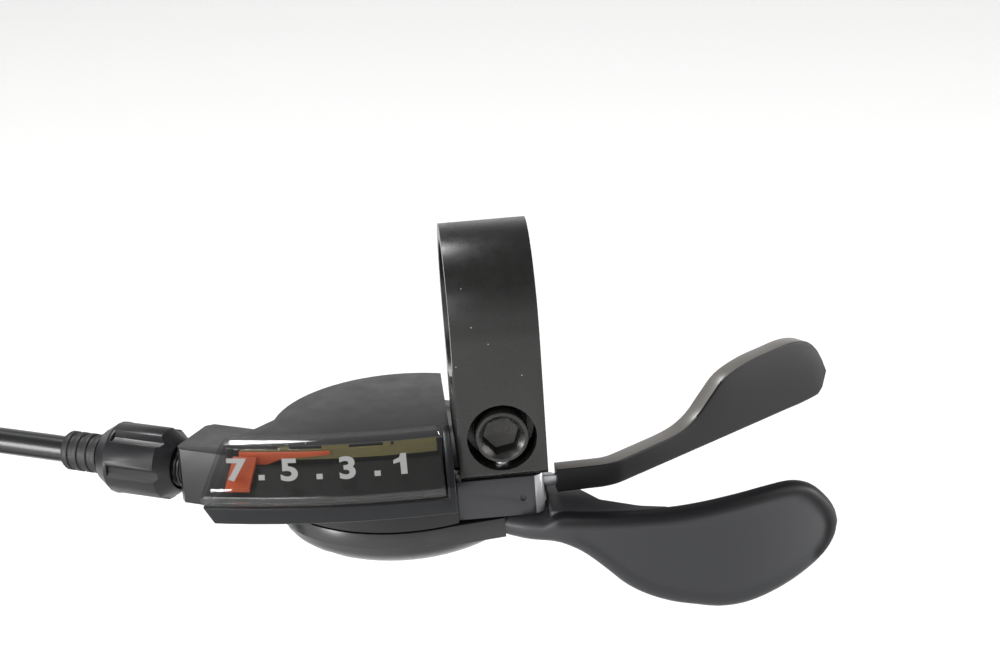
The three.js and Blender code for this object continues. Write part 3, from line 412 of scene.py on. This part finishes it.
def smooth_through(points, x):
    """The height at x of a smooth curve through points, which run from left to right."""
    if x <= points[0][0]:
        return points[0][1]
    for i in range(len(points) - 1):
        (x0, y0), (x1, y1) = points[i], points[i + 1]
        if x <= x1:
            before = points[max(i - 1, 0)]
            after = points[min(i + 2, len(points) - 1)]
            slope0 = (y1 - before[1]) / (x1 - before[0])
            slope1 = (after[1] - y0) / (after[0] - x0)
            t = (x - x0) / (x1 - x0)
            width = x1 - x0
            return (y0 * (1 + 2 * t) * (1 - t) ** 2 + slope0 * width * t * (1 - t) ** 2
                    + y1 * t * t * (3 - 2 * t) + slope1 * width * t * t * (t - 1))
    return points[-1][1]


def riding_with(obj, node):
    """Lets obj move with a CAD node's body."""
    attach(obj, frame["nodes"][node]["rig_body"])
    return obj


def in_place_of(obj, *nodes):
    """Shows obj instead of CAD nodes and lets it move with the first one."""
    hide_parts(*nodes)
    return riding_with(obj, nodes[0])


# ------------------------------------------------------------------ casing and its coil
LEAD_POINTS = [
    (-59.0, 18.3, -23.9), (-64.2, 21.3, -23.9), (-69.4, 24.3, -23.9), (-74.6, 27.3, -23.9),
    (-79.3, 29.6, -23.9), (-84.2, 31.3, -24.0), (-89.3, 32.3, -24.3), (-94.6, 32.7, -25.1),
    (-99.5, 32.7, -26.4), (-104.5, 32.7, -28.0), (-109.5, 32.7, -29.3), (-113.5, 32.7, -29.8),
]
# the turns of the coil in order: how many layers in, how many places aside
TURN_SLOTS = [
    (0, 0), (0, -1), (1, -1), (1, 0), (2, 0), (2, -1), (3, -1), (3, 0), (3, 1), (2, 1), (1, 1), (0, 1),
]
FIRST_SHIFT = 280.0  # degrees round the coil where the first turn starts to change place
SHIFT_LENGTH = 30.0
TAIL_LENGTH = 18.5
POINT_STEP = 7.5


def smooth_step(t):
    """Rises smoothly from 0 to 1 while t does."""
    t = min(1.0, max(0.0, t))
    return t * t * (3 - 2 * t)


def turn_place(angle):
    """Radius and side offset of the coil's wire after it has turned through angle degrees."""
    layer, aside = TURN_SLOTS[0]
    for number, (next_layer, next_aside) in enumerate(TURN_SLOTS[1:]):
        start = FIRST_SHIFT + number * (360 - SHIFT_LENGTH)
        share = smooth_step((angle - start) / SHIFT_LENGTH)
        previous_layer, previous_aside = TURN_SLOTS[number]
        layer += share * (next_layer - previous_layer)
        aside += share * (next_aside - previous_aside)
    return RING_RADIUS - layer * TURN_PITCH, aside * TURN_PITCH


def casing_route():
    """The casing's line: the lead from the boot, the turns of the coil and the hanging tail."""
    points = [on_cable(CASING_START)] + [Vector(place) for place in LEAD_POINTS]
    last_shift = FIRST_SHIFT + (len(TURN_SLOTS) - 2) * (360 - SHIFT_LENGTH) + SHIFT_LENGTH
    end = 90 + 360 * math.ceil((last_shift - 90) / 360)
    steps = round(end / POINT_STEP)
    for step in range(steps + 1):
        angle = end * step / steps
        radius, aside = turn_place(angle)
        turned = math.radians(angle)
        points.append(RING_CENTRE + Vector((-radius * math.sin(turned), aside, radius * math.cos(turned))))
    for _ in range(2):
        points.append(points[-1] - Vector((0, 0, TAIL_LENGTH / 2)))
    return points


def make_casing():
    """The casing as one round cord along its route."""
    curve = bpy.data.curves.new("shift_casing_shown", "CURVE")
    curve.dimensions = "3D"
    curve.bevel_depth = CASING_DIAMETER / 2 * MM
    curve.bevel_resolution = 3
    curve.resolution_u = 2
    curve.use_fill_caps = True
    points = casing_route()
    spline = curve.splines.new("POLY")
    spline.points.add(len(points) - 1)
    for place, point in zip(points, spline.points):
        point.co = (*(place * MM), 1)
    spline.use_smooth = True
    curve.materials.append(casing_plastic)
    obj = bpy.data.objects.new("shift_casing_shown", curve)
    bpy.context.scene.collection.objects.link(obj)
    return in_place_of(obj, "shift_casing", "casing_coil")


casing = make_casing()
end_pieces = [
    refined("casing_end_cap", cap_aluminium, 0.25),
    refined("wire_tail", zinc_steel, 0),
    refined("wire_crimp", cap_aluminium, 0.25),
]
tie_pieces = [refined(f"coil_tie_{number}", tie_nylon, 0.2) for number in (1, 2, 3)]

# ------------------------------------------------------------------ clamp
def make_clamp_bolt():
    """A cap bolt along Y: land, worn cone, hexagon socket with a dished floor."""
    count = 72

    def ring(radius_at, y):
        row = []
        for i in range(count):
            angle = 2 * math.pi * i / count
            radius = radius_at(angle)
            depth = y(radius) if callable(y) else y
            row.append((radius * math.cos(angle), depth, BOLT_LEVEL + radius * math.sin(angle)))
        return row

    def circle(radius):
        return lambda angle: radius

    def hexagon(angle):
        turned = (angle - SOCKET_TURN) % (math.pi / 3) - math.pi / 6
        return SOCKET_APOTHEM / math.cos(turned)

    edge = 0.3
    cone_rim, cone_lip, cone_slope = CONE_RADIUS - 0.08, BOLT_FRONT + 0.05, 1.1
    head_rear = BOLT_FRONT + BOLT_HEAD_LENGTH
    socket_floor = BOLT_FRONT + SOCKET_DEPTH
    rows = [
        ring(circle(0.4), BOLT_REAR),
        ring(circle(BOLT_RADIUS - edge), BOLT_REAR),
        ring(circle(BOLT_RADIUS), BOLT_REAR - edge),
        ring(circle(BOLT_RADIUS), head_rear),
        ring(circle(BOLT_HEAD_RADIUS), head_rear),
        ring(circle(BOLT_HEAD_RADIUS), BOLT_FRONT + edge),
        ring(circle(BOLT_HEAD_RADIUS - 0.1), BOLT_FRONT + 0.08),
        ring(circle(BOLT_HEAD_RADIUS - edge), BOLT_FRONT),
        ring(circle(CONE_RADIUS), BOLT_FRONT),
        ring(circle(cone_rim), cone_lip),
    ]
    cone_start = len(rows) - 1
    rows.append(ring(hexagon, lambda radius: cone_lip + (cone_rim - radius) * cone_slope))
    cone_end = len(rows) - 1
    rows += [
        ring(hexagon, socket_floor - 0.5),
        ring(lambda angle: hexagon(angle) * 0.93, socket_floor - 0.15),
        ring(circle(1.9), socket_floor),
        ring(circle(1.0), socket_floor + 0.25),
        ring(circle(0.2), socket_floor + 0.3),
    ]
    obj = loft("clamp_bolt_shown", rows, bolt_steel,
               material_of=lambda number: 1 if cone_start <= number < cone_end else 0)
    obj.data.materials.append(worn_steel)
    softened(obj, 0, sharp=28)
    return in_place_of(obj, "clamp_bolt")


# the clamp's bevelled edges take the lighter paint: a painted highlight
refined("clamp_band", clamp_paint, 0.28, 3, 25, edge_material=clamp_painted_highlight)
make_clamp_bolt()
refined("clamp_nut", zinc_steel, 0.2)

# ------------------------------------------------------------------ bracket and covers
base_plate = refined("base_plate", bracket_paint, 0.15, 2, 40)
# faces turned to the right and towards the rider are painted lighter: a painted highlight on the flange's
# corner
mark_faces(base_plate, flange_painted_highlight, lambda face: face.normal.x > 0.3 and face.normal.y < -0.25)
refined("plate_rivet_front", zinc_steel, 0.2)
refined("plate_rivet_rear", zinc_steel, 0.2)
refined("upper_cover", cover_plastic, 0.5, 3, 30)
refined("lower_cover", dome_plastic, 0.25, 2, 40)
for number in (1, 2, 3):
    refined(f"cover_screw_{number}", zinc_steel, 0.12)

# ------------------------------------------------------------------ mechanism
# each node with its material and the width of its rounded edges
MECHANISM = [
    ("main_axle", zinc_steel, 0.2),
    ("axle_washer", zinc_steel, 0.1),
    ("axle_nut", zinc_steel, 0.2),
    ("winder_drum", acetal, 0.12),
    ("ratchet_plate", zinc_steel, 0.08),
    ("wire_nipple", brass, 0.15),
    ("winder_spring", spring_steel, 0),
    ("thumb_lever_plate", zinc_steel, 0.12),
    ("thumb_lever_spring", spring_steel, 0),
    ("feed_pawl", dark_steel, 0.1),
    ("feed_pawl_pin", zinc_steel, 0.1),
    ("feed_pawl_spring", spring_steel, 0),
    ("release_lever_plate", zinc_steel, 0.12),
    ("release_pin", zinc_steel, 0.15),
    ("release_spring", spring_steel, 0),
    ("hold_pawl", dark_steel, 0.1),
    ("hold_pawl_pin", zinc_steel, 0.1),
    ("hold_pawl_spring", spring_steel, 0),
    ("inner_wire", zinc_steel, 0),
]
for node, material, width in MECHANISM:
    refined(node, material, width)

# ------------------------------------------------------------------ thumb paddle
# heights of the paddle's upper and lower edge along X
PADDLE_UPPER = [
    (SLEEVE_LEFT, -26.6), (3.0, -26.6), (5.7, -26.5), (6.4, -25.7), (7.6, -25.2), (11.0, -25.1),
    (15.0, -25.1), (24.0, -25.1), (32.0, -24.8), (37.6, -24.7), (41.2, -25.1), (43.9, -26.6),
    (46.3, -29.6), (47.4, -31.9), (47.72, -33.6),
]
PADDLE_LOWER = [
    (SLEEVE_LEFT, -29.7), (3.2, -29.8), (6.4, -29.7), (8.2, -30.1), (9.9, -30.9), (11.4, -32.0),
    (13.4, -33.8), (15.7, -36.0), (18.4, -37.8), (22.0, -39.4), (25.4, -40.4), (29.2, -41.4), (33.3, -41.6),
    (38.3, -40.7), (42.5, -39.3), (45.6, -37.6), (47.2, -35.6), (47.72, -33.6),
]
# the sleeve's front face in plan, from the cover's seam to where the paddle's band begins
SLEEVE_FRONT = [
    (SLEEVE_LEFT, -12.35), (1.6, -13.5), (3.2, -14.6), (5.4, -15.75), (7.2, -16.55), (9.4, -17.4),
]


def paddle_front(x):
    """Y of the paddle's middle layer at x."""
    radius = PADDLE_RADIUS - PADDLE_THICKNESS / 2
    band = PADDLE_CENTRE.y - math.sqrt(radius ** 2 - (x - PADDLE_CENTRE.x) ** 2)
    if x >= SLEEVE_FRONT[-1][0]:
        return band
    return smooth_through(SLEEVE_FRONT, x) + PADDLE_THICKNESS / 2


def paddle_place(x, height, out):
    """A point at x and height that stands out from the paddle's middle layer."""
    step = 0.05
    slope = (paddle_front(x + step) - paddle_front(x - step)) / (2 * step)
    length = math.hypot(slope, 1)
    return (x + slope / length * out, paddle_front(x) - out / length, height)


def edge_distance(x, height, edges):
    """The shortest way from a point to a line of points."""
    best = 1e9
    for (x0, z0), (x1, z1) in zip(edges, edges[1:]):
        along = Vector((x1 - x0, z1 - z0))
        away = Vector((x - x0, height - z0))
        share = min(1.0, max(0.0, away.dot(along) / max(along.length_squared, 1e-9)))
        best = min(best, (away - along * share).length)
    return best


def make_thumb_paddle():
    """The blade: a bent plate with full round edges and a raised rim along its top and tip."""
    edge_round = 1.35
    rim_width, rim_step, rim_height = 1.7, 0.7, 0.32
    rim_start, rim_end, rim_fade = 7.0, 45.5, 4.0  # along X, over the blade's top and under its tip
    left, right = PADDLE_UPPER[0][0], PADDLE_UPPER[-1][0]
    stations, across = 96, 26
    xs = []
    for i in range(stations + 1):
        t = i / stations
        xs.append(left + (right - left) * (0.35 * t + 0.65 * math.sin(t * math.pi / 2)))
    xs[-1] = right - 0.02  # the last section keeps a little height
    upper = [(x, smooth_through(PADDLE_UPPER, x)) for x in xs]
    lower = [(x, smooth_through(PADDLE_LOWER, x)) for x in xs]
    outline = upper + [(right, PADDLE_UPPER[-1][1])] + lower[::-1]
    rim_line = [point for point in upper if point[0] > rim_start] + [(right, PADDLE_UPPER[-1][1])]
    rim_line += [point for point in lower[::-1] if point[0] > rim_end]
    rows = []
    for (x, top), (_, bottom) in zip(upper, lower):
        front, back = [], []
        for j in range(across + 1):
            height = (top + bottom) / 2 + (top - bottom) / 2 * math.cos(math.pi * j / across)
            inset = edge_distance(x, height, outline)
            share = min(1.0, inset / edge_round)
            out = PADDLE_THICKNESS / 2 * math.sqrt(max(0.0, 1 - (1 - share) ** 2))
            rim = 1 - smooth_step((edge_distance(x, height, rim_line) - rim_width) / rim_step)
            inside = smooth_step((inset - edge_round) / 0.8) * smooth_step((x - rim_start) / rim_fade)
            sunk = rim_height * (1 - rim) * inside
            front.append(paddle_place(x, height, out - sunk))
            back.append(paddle_place(x, height, -out))
        rows.append(front + back[1:-1][::-1])
    obj = loft("thumb_paddle_shown", rows, lever_plastic)
    # the rim attribute marks where the raised rim is painted darker: a painted shade
    rim_shade_share = obj.data.attributes.new("rim", "FLOAT", "POINT")
    for vertex, share in zip(obj.data.vertices, rim_shade_share.data):
        inset = edge_distance(vertex.co.x / MM, vertex.co.z / MM, rim_line)
        share.value = 1 - smooth_step((inset - rim_width + rim_step) / (2 * rim_step))
    softened(obj, 0, sharp=60)
    return in_place_of(obj, "thumb_paddle")


# the web behind the blade and the sleeve round the steel lever, in plan
WEB_REAR = [(5.95, -4.8), (10.2, -6.4), (12.4, -10.2), (13.4, -12.0), (18.7, -15.4), (22.6, -16.6)]
SLEEVE_REAR = [(SLEEVE_LEFT, -8.9), (2.9, -4.6), (6.4, -7.6), (9.4, -10.0)]


def add_slab(bm, outline, top, bottom):
    """A flat plate between two heights."""
    add_loft(bm, [[(x, y, bottom) for x, y in outline], [(x, y, top) for x, y in outline]])


def make_paddle_root():
    """The sleeve round the steel lever and the web that carries the blade."""
    bm = bmesh.new()
    rear = [tuple(point) for point in rounded_line(WEB_REAR, [2.0, 1.5, 1.5, 6.0], 4)]
    front = [(x, paddle_front(x)) for x in (22.4, 20.0, 16.0, 12.0, 9.6, 7.6, 5.95)]
    add_slab(bm, rear + front, WEB_TOP, WEB_BOTTOM)
    sleeve_front = [(x, paddle_front(x)) for x in (9.4, 8.0, 6.6, 5.0, 3.2, 1.6, SLEEVE_LEFT)]
    add_slab(bm, SLEEVE_REAR + sleeve_front, SLEEVE_TOP, SLEEVE_BOTTOM)
    obj = from_bmesh("thumb_paddle_root", bm, lever_plastic)
    softened(obj, 0.4, 3, 40)
    return riding_with(obj, "thumb_paddle")


make_thumb_paddle()
make_paddle_root()

# ------------------------------------------------------------------ release trigger
TRIGGER_WIDTH = 2.7
TRIGGER_TIP = 51.6
# the front face in plan
TRIGGER_FRONT = [(7.6, -9.9), (15.6, -9.5), (51.7, 18.5)]
# heights of its upper and lower edge along X, rising into the finger pad
TRIGGER_UPPER = [
    (7.6, -20.9), (22.0, -20.9), (26.8, -20.6), (29.6, -19.4), (31.8, -17.4), (34.4, -15.2), (38.0, -14.2),
    (42.0, -14.0), (46.0, -14.1), (49.0, -15.4), (50.8, -18.0), (TRIGGER_TIP, -21.0),
]
TRIGGER_LOWER = [(7.6, -24.6), (44.0, -24.6), (49.4, -24.5), (50.9, -23.8), (TRIGGER_TIP, -21.0)]


def make_release_trigger():
    """A bent blade of rounded section that widens upwards into the finger pad."""
    spacing, corner_radius, end_gap = 0.9, 0.4, 0.05
    line = rounded_line(TRIGGER_FRONT, [7.0], 8)
    places = []
    for start, end in zip(line, line[1:]):
        steps = max(1, round((end - start).length / spacing))
        places += [start.lerp(end, i / steps) for i in range(steps)]
    places.append(line[-1])
    rows = []
    for i, place in enumerate(places):
        before, after = places[max(i - 1, 0)], places[min(i + 1, len(places) - 1)]
        ahead = (after - before).normalized()
        aside = Vector((-ahead.y, ahead.x))
        x = min(place.x, TRIGGER_TIP - end_gap)
        top, bottom = smooth_through(TRIGGER_UPPER, x), smooth_through(TRIGGER_LOWER, x)
        half_high = (top - bottom) / 2
        half_wide = TRIGGER_WIDTH / 2
        corner = min(corner_radius, half_high * 0.9)
        section = []
        for quarter in range(4):
            turn_x = 1 if quarter in (0, 3) else -1
            turn_z = 1 if quarter in (0, 1) else -1
            for step in range(5):
                angle = math.radians(90 * quarter + 22.5 * step)
                section.append((
                    turn_x * (half_wide - corner) + corner * math.cos(angle),
                    turn_z * (half_high - corner) + corner * math.sin(angle),
                ))
        middle = place + aside * half_wide
        rows.append([
            (middle.x + aside.x * wide, middle.y + aside.y * wide, (top + bottom) / 2 + high)
            for wide, high in section
        ])
    obj = loft("release_trigger_shown", rows, trigger_plastic)
    # the faces that look upwards get the lighter material: a painted highlight on the trigger's top
    mark_faces(obj, trigger_painted_highlight, lambda face: face.normal.z > 0.75 and abs(face.normal.x) < 0.6)
    softened(obj, 0, sharp=50)
    return in_place_of(obj, "release_trigger")


make_release_trigger()

# ------------------------------------------------------------------ gear display
def pod_point(outward, height, x):
    """A point outward from the pod's rear radius, at a height and an X."""
    radius = POD_REAR_RADIUS + outward
    return Vector((x, POD_CENTRE.y - math.sqrt(radius ** 2 - (x - POD_CENTRE.x) ** 2), height))


def pod_left(outward, inset=0.0):
    """X where the pod's slanted left end crosses a ring outward from the rear radius."""
    (x0, y0), (x1, y1) = POD_REAR_LEFT, POD_FRONT_LEFT
    x = x0
    for _ in range(8):
        y = pod_point(outward, 0, x).y
        x = x0 + (x1 - x0) * (y - y0) / (y1 - y0)
    return x + inset


# the lens's sloped face in section: outward from the rear radius, and height
SLOPE_LOW = (7.95, -16.55)
SLOPE_HIGH = (2.5, -12.6)
SLOPE_LENGTH = math.hypot(SLOPE_LOW[0] - SLOPE_HIGH[0], SLOPE_LOW[1] - SLOPE_HIGH[1])
LENS_THICKNESS = 0.95
LENS_STATIONS = 48


def lens_profile(inset):
    """The lens in section, from its lower front lip over the slope to its rear edge."""
    corners = [
        (9.5 - inset, -19.0),
        (9.45 - inset, -17.75 - 0.25 * inset),
        (SLOPE_LOW[0] - 0.75 * inset, SLOPE_LOW[1] - 0.85 * inset),
        (SLOPE_HIGH[0] - 0.5 * inset, SLOPE_HIGH[1] - 0.95 * inset),
        (0.0, -12.1 - 0.9 * inset),
    ]
    return rounded_line(corners, [0.5, 0.6, 0.3])


def make_lens():
    """The clear cover: a bent shell with a closed left end."""
    inner = lens_profile(LENS_THICKNESS)
    section = lens_profile(0) + inner[::-1]
    rows = []
    for i in range(LENS_STATIONS + 1):
        share = i / LENS_STATIONS
        row = []
        for outward, height in section:
            left = pod_left(outward, 0.05)
            row.append(pod_point(outward, height, left + (LENS_RIGHT - left) * share))
        rows.append(row)
    wall = inner + [Vector((0.0, -19.0))]
    end_rows = []
    for inset in (0.1, 1.0):
        end_rows.append([pod_point(u - 0.02, z, pod_left(u, inset)) for u, z in wall])
    bm = bmesh.new()
    add_loft(bm, rows)
    add_loft(bm, end_rows)
    obj = from_bmesh("lens_shown", bm, lens_clear)
    softened(obj, 0.14, 2, 55, 40)
    return in_place_of(obj, "lens")


NUMERAL_HEIGHT = 3.4
NUMERAL_BOLD = 0.032
NUMERAL_BASE = 0.95
NUMERALS = [("7", -37.5), ("5", -30.0), ("3", -21.9)]
NUMERAL_WIDENING = 1.1
# the figure one is drawn: a stem with a flag
FIGURE_ONE = [
    (-1.0, 2.35), (-0.15, 2.75), (0.1, NUMERAL_HEIGHT), (0.85, NUMERAL_HEIGHT), (0.85, 0.0),
    (-0.05, 0.0), (-0.05, 2.0), (-1.0, 1.75),
]
FIGURE_ONE_PLACE = -14.5
DOTS = [-33.9, -25.85, -17.8]
DOT_SIZE = 0.86


def on_slope(x, up):
    """A point on the lens's sloped face, up from its lower edge in millimetres."""
    lift = 0.03
    share = up / SLOPE_LENGTH
    outward = SLOPE_LOW[0] + (SLOPE_HIGH[0] - SLOPE_LOW[0]) * share + lift
    height = SLOPE_LOW[1] + (SLOPE_HIGH[1] - SLOPE_LOW[1]) * share + lift
    return pod_point(outward, height, x)


def figure_mesh(figure):
    """One numeral as a flat mesh, its foot at zero and its middle at zero."""
    curve = bpy.data.curves.new("figure", "FONT")
    curve.body = figure
    curve.align_x = "CENTER"
    curve.size = NUMERAL_HEIGHT / 0.7  # the font's figures are 0.7 of its size high
    curve.offset = NUMERAL_BOLD * curve.size
    curve.resolution_u = 6
    holder = bpy.data.objects.new("figure", curve)
    bpy.context.scene.collection.objects.link(holder)
    bpy.context.view_layer.update()
    graph = bpy.context.evaluated_depsgraph_get()
    mesh = bpy.data.meshes.new_from_object(holder.evaluated_get(graph))
    bpy.data.objects.remove(holder)
    return mesh


def make_numerals():
    """Plain figures and square dots printed on the slope."""
    bm = bmesh.new()
    for figure, x in NUMERALS:
        first = len(bm.verts)
        bm.from_mesh(figure_mesh(figure))
        bm.verts.ensure_lookup_table()
        for vertex in bm.verts[first:]:
            vertex.co = on_slope(x + vertex.co.x * NUMERAL_WIDENING, NUMERAL_BASE + vertex.co.y) * MM
    half = DOT_SIZE / 2
    shapes = [(x, [(-half, 0), (half, 0), (half, DOT_SIZE), (-half, DOT_SIZE)]) for x in DOTS]
    shapes.append((FIGURE_ONE_PLACE, FIGURE_ONE))
    for x, corners in shapes:
        bm.faces.new([bm.verts.new(on_slope(x + a, NUMERAL_BASE + b) * MM) for a, b in corners])
    mesh = bpy.data.meshes.new("scale_numerals")
    bm.to_mesh(mesh)
    bm.free()
    obj = new_object("scale_numerals", mesh, print_ink)
    return riding_with(obj, "lens")


def make_scale_plate():
    """The dark plate behind the needle, which lines the pod under the lens."""
    low, high = (6.9, -19.0), (2.2, -15.8)
    thickness, left_inset, right = 0.5, 1.6, LENS_RIGHT - 0.2
    section = (low, high, (high[0], high[1] - thickness), (low[0], low[1] - thickness))
    rows = []
    for i in range(LENS_STATIONS + 1):
        share = i / LENS_STATIONS
        row = []
        for outward, height in section:
            left = pod_left(outward, left_inset)
            row.append(pod_point(outward, height, left + (right - left) * share))
        rows.append(row)
    obj = loft("scale_plate", rows, scale_plastic)
    return riding_with(obj, "pod_base")


RAIL_BLOCKS = [(-31.3, -29.9), (-25.3, -21.5), (-16.7, -15.6), (-15.2, -9.2)]


def make_needle_rail():
    """The needle's guide: a thin rail with wider ledges that show under the lens's rear strip."""
    bm = bmesh.new()
    strips = [(-36.8, -9.2, ((1.15, -15.4), (1.45, -15.4), (1.45, -14.0), (1.15, -13.9)))]
    for start, end in RAIL_BLOCKS:
        strips.append((start, end, ((0.9, -14.1), (1.6, -14.1), (1.6, -13.75), (0.9, -13.55))))
    for start, end, section in strips:
        steps = max(2, round(end - start))
        stations = [start + (end - start) * i / steps for i in range(steps + 1)]
        add_loft(bm, [[pod_point(u, z, x) for u, z in section] for x in stations])
    obj = from_bmesh("needle_rail_shown", bm, amber_plastic)
    softened(obj, 0)
    return in_place_of(obj, "needle_rail")


refined("pod_base", pod_plastic, 0.3, 3, 30)
make_lens()
make_numerals()
make_scale_plate()
refined("needle", orange_plastic, 0.15)
refined("needle_ribbon", orange_plastic, 0.05)
make_needle_rail()

# ------------------------------------------------------------------ barrel adjuster
refined("adjuster_barrel", black_steel, 0.2)
refined("adjuster_knob", cover_plastic, 0.3, 2, 30)
refined("adjuster_spring", black_steel, 0)
refined("casing_boot", rubber, 0.15)


# ------------------------------------------------------------------ floor and lights
def make_floor():
    """A white studio floor that glows a little, just below the coil."""
    size = 4.0
    bm = bmesh.new()
    corners = [(-size, -size), (size, -size), (size, size), (-size, size)]
    bm.faces.new([bm.verts.new((x, y, FLOOR_LEVEL * MM)) for x, y in corners])
    paint = principled(
        "floor", (0.86, 0.86, 0.85), 0.6, Emission_Color=(1, 1, 1, 1), Emission_Strength=0.2)
    from_bmesh("floor", bm, paint)


def soft_light(name, place, aim, size, power):
    """A rectangular studio light; place, aim and size are in metres."""
    data = bpy.data.lights.new(name, "AREA")
    data.shape = "RECTANGLE"
    data.size, data.size_y = size
    data.energy = power
    light = bpy.data.objects.new(name, data)
    bpy.context.scene.collection.objects.link(light)
    direction = Vector(aim) - Vector(place)
    turn = direction.to_track_quat("-Z", "Y").to_matrix().to_4x4()
    light.matrix_world = Matrix.Translation(Vector(place)) @ turn
    light.visible_camera = False


def make_world():
    """A white studio: bright at the horizon and below, greyer overhead."""
    world = bpy.data.worlds.new("studio")
    world.use_nodes = True
    tree = world.node_tree
    place = tree.nodes.new("ShaderNodeTexCoord")
    split = tree.nodes.new("ShaderNodeSeparateXYZ")
    ramp = tree.nodes.new("ShaderNodeValToRGB")
    ramp.color_ramp.elements[0].position = 0.15
    ramp.color_ramp.elements[0].color = (1.0, 1.0, 1.0, 1)
    ramp.color_ramp.elements[1].position = 0.7
    ramp.color_ramp.elements[1].color = (0.17, 0.17, 0.174, 1)
    tree.links.new(place.outputs["Generated"], split.inputs["Vector"])
    tree.links.new(split.outputs["Z"], ramp.inputs["Fac"])
    tree.links.new(ramp.outputs["Color"], tree.nodes["Background"].inputs["Color"])
    tree.nodes["Background"].inputs["Strength"].default_value = 0.95
    bpy.context.scene.world = world


bpy.context.scene.view_settings.view_transform = "Standard"
make_floor()
make_world()
soft_light("top light", (-0.25, 0.33, 0.85), (0, 0, 0), (0.2, 0.16), 5)
soft_light("front light", (-0.5, -0.7, 0.45), (0, 0, -0.02), (0.5, 0.5), 4)
soft_light("side light", (0.7, -0.2, 0.3), (0, 0, -0.02), (0.3, 0.6), 2.5)
soft_light("low right light", (0.5, 0.04, -0.06), (0, 0, -0.02), (0.12, 0.3), 1.8)
soft_light("low left light", (-0.5, -0.2, -0.04), (0, 0, -0.02), (0.12, 0.3), 2.5)
